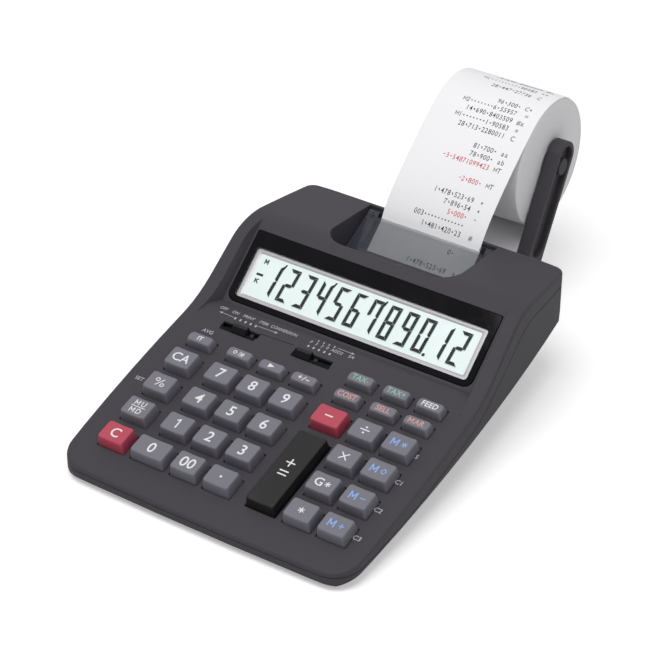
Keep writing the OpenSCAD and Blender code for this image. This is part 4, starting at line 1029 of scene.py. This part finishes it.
def tape_printing():
    """Printed lines up the tape and over the roll: every character has its own place in the line."""
    black, red = Shape(), Shape()
    first_run, line_step, right_end, sign_x, letter_step = 3.0, 4.56, 16.1, 20.6, 1.92
    # Line number from the exit, figures, signs, and whether the figures are red
    lines = [(-4.4, "1,478,523.69", "+", 0), (-2.2, "0.", "", 0), (0, "1,481,420.23", " #", 0),
             (1, "003............", "", 0), (2, "5,000.", "-", 1), (3, "7,896.54", "+", 0),
             (4, "1,478,523.69", "+", 0), (6, "-2,800.", "MT", 1), (8, "-3.54871099423", "MT", 1),
             (9, "78,900.", "ab", 0),
             (10, "81,700.", "aa", 0), (12, "28,713.2280011", "C", 0), (13, "M1.......1.90583", "=", 0),
             (14, "14,690.8403509", "#x", 0), (15, "M2.......6.55957", " =", 0), (16, "96,300.", "C+", 0),
             (18.3, "28,447.27736", "C", 0), (19.6, "M1.......1.90583", "++", 0), (21, "14,690.8403509", "#x", 0)]
    depth = {"low": -0.02, "high": 0.11}
    marks = {".": disc(0.42, 8), ",": [(-0.5, 0.5), (0.1, 0.6), (0.5, -0.5), (0.1, -0.7)]}

    def put_letter(shape, letter, x, run):
        if letter in marks:
            solid_sign(shape, marks[letter], on_tape, (x, run), **depth)
        elif letter in "-+":
            strokes(shape, [((-0.6, 0), (0.6, 0)), ((0, -0.7), (0, 0.7))][:1 + (letter == "+")], 0.36, on_tape,
                    (x, run), **depth)
        elif letter == "M":
            letter_m(shape, 2.2, 0.26, on_tape, (x, run), **depth)
        elif letter != " ":
            letters(shape, letter, 2.7, on_tape, (x, run), bold=0.004, squeeze=0.85, **depth)
    for row, text, sign, is_red in lines:
        run = first_run + line_step * row
        for i, letter in enumerate(reversed(text)):
            put_letter(red if is_red else black, letter, right_end - letter_step * (i + 0.5), run)
        for i, letter in enumerate(sign):
            put_letter(black, letter, sign_x + 2.1 * (i - (len(sign) - 1) / 2), run)
    for shape, name, finish in ((black, "tape_figures", INK), (red, "tape_negatives", INK_RED)):
        piece = shape.piece(name, None, finish, sharp=20)
        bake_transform(piece)


tape_printing()


def paper_roll():
    """The wound roll: round edges, a slightly uneven face each side and a core tube."""
    shape = Shape()

    def turned(profile, steps, kind):
        shape.rings([[in_case(x, *polar(ROLL_AT, r, 360 * i / steps)) for r, x in profile] for i in range(steps)],
                    kind, closed=True)

    def face(side):
        """Radius and x down one side: wound paper is never quite flat."""
        steps = [(29.5, -0.12), (26.0, 0.06), (21.0, -0.10), (16.5, 0.05), (12.0, -0.08), (9.2, 0.0)]
        return [(r, side * (28.3 + off)) for r, off in steps]
    rim = [(33.4, -28.45), (33.85, -28.2), (34.0, -27.8), (34.0, 27.8), (33.85, 28.2), (33.4, 28.45)]
    turned(rim + face(1) + face(-1)[::-1], 96, 0)
    turned([(9.15, -28.5), (9.15, 28.5), (8.9, 28.5), (6.2, 28.5), (6.0, 28.2), (6.0, -28.2), (6.2, -28.5),
            (8.9, -28.5)], 48, 1)
    shape.piece("wound_roll", "roll", [ROLL, TUBE], "paper", ["paper_roll"], sharp=40)


paper_roll()


# ---------------------------------------------------------------- CAD nodes that keep their own shape
for node, finish in (("key_mat", RUBBER), ("main_board", BOARD), ("feed_motor", STEEL), ("batteries", CELL),
                     ("battery_contacts", STEEL), ("case_screws", STEEL)):
    mesh = nodes[node].data
    mesh.materials.clear()
    mesh.materials.append(finish)


# ---------------------------------------------------------------- floor, light and camera
def plain_stage():
    mesh = bpy.data.meshes.new("floor")
    mesh.from_pydata([(-4, -4, 0), (4, -4, 0), (4, 4, 0), (-4, 4, 0)], [], [[0, 1, 2, 3]])
    floor = bpy.data.objects.new("floor", mesh)
    floor.location.z = -0.0004
    bpy.context.scene.collection.objects.link(floor)
    made, tree, shader = material("floor_white", {"Roughness": 0.9, "Base Color": (0.9, 0.9, 0.9, 1)})
    seen = add(tree, "ShaderNodeLightPath").outputs["Is Camera Ray"]
    shader.inputs["Emission Color"].default_value = (1, 1, 1, 1)
    tree.links.new(calc(tree, "MULTIPLY", seen, 0.36), shader.inputs["Emission Strength"])
    mesh.materials.append(made)
    floor.is_shadow_catcher = False


def white_world(strength):
    world = bpy.data.worlds.new("studio")
    bpy.context.scene.world = world
    world.use_nodes = True
    tree = world.node_tree
    tree.nodes.clear()
    path = add(tree, "ShaderNodeLightPath").outputs
    seen = calc(tree, "MAXIMUM", calc(tree, "MAXIMUM", path["Is Camera Ray"], path["Is Transmission Ray"]),
                path["Is Glossy Ray"])
    level = add(tree, "ShaderNodeMapRange", {0: seen, 1: 0.0, 2: 1.0, 3: strength, 4: 1.0}).outputs[0]
    back = add(tree, "ShaderNodeBackground", {"Color": (1, 1, 1, 1), "Strength": level})
    out = add(tree, "ShaderNodeOutputWorld")
    tree.links.new(back.outputs[0], out.inputs[0])


def lamp(name, at, towards, size, watts):
    data = bpy.data.lights.new(name, "AREA")
    data.shape, data.size, data.energy = "DISK", size, watts
    obj = bpy.data.objects.new(name, data)
    bpy.context.scene.collection.objects.link(obj)
    obj.location = at
    obj.rotation_euler = (Vector(towards) - Vector(at)).to_track_quat("-Z", "Y").to_euler()


plain_stage()
white_world(0.36)
lamp("overhead", (0.0, -0.35, 1.32), (0, 0.02, 0.03), 1.1, 11.5)
lamp("right_fill", (1.3, -0.1, 0.9), (0, 0, 0.03), 0.8, 0.9)

camera = bpy.data.objects.new("camera", bpy.data.cameras.new("camera"))
bpy.context.scene.collection.objects.link(camera)
camera.location = (0.5033, -0.7555, 0.6735)
azimuth, elevation = math.radians(33.54), math.radians(34.21)
level = math.cos(elevation)
look = Vector((-math.sin(azimuth) * level, math.cos(azimuth) * level, -math.sin(elevation)))
camera.rotation_mode = "QUATERNION"
camera.rotation_quaternion = look.to_track_quat("-Z", "Y")
camera.data.lens, camera.data.sensor_width = 129.9, 36.0
camera.data.clip_start, camera.data.clip_end = 0.05, 20
bpy.context.scene.camera = camera
bpy.context.scene.view_settings.view_transform = "Standard"
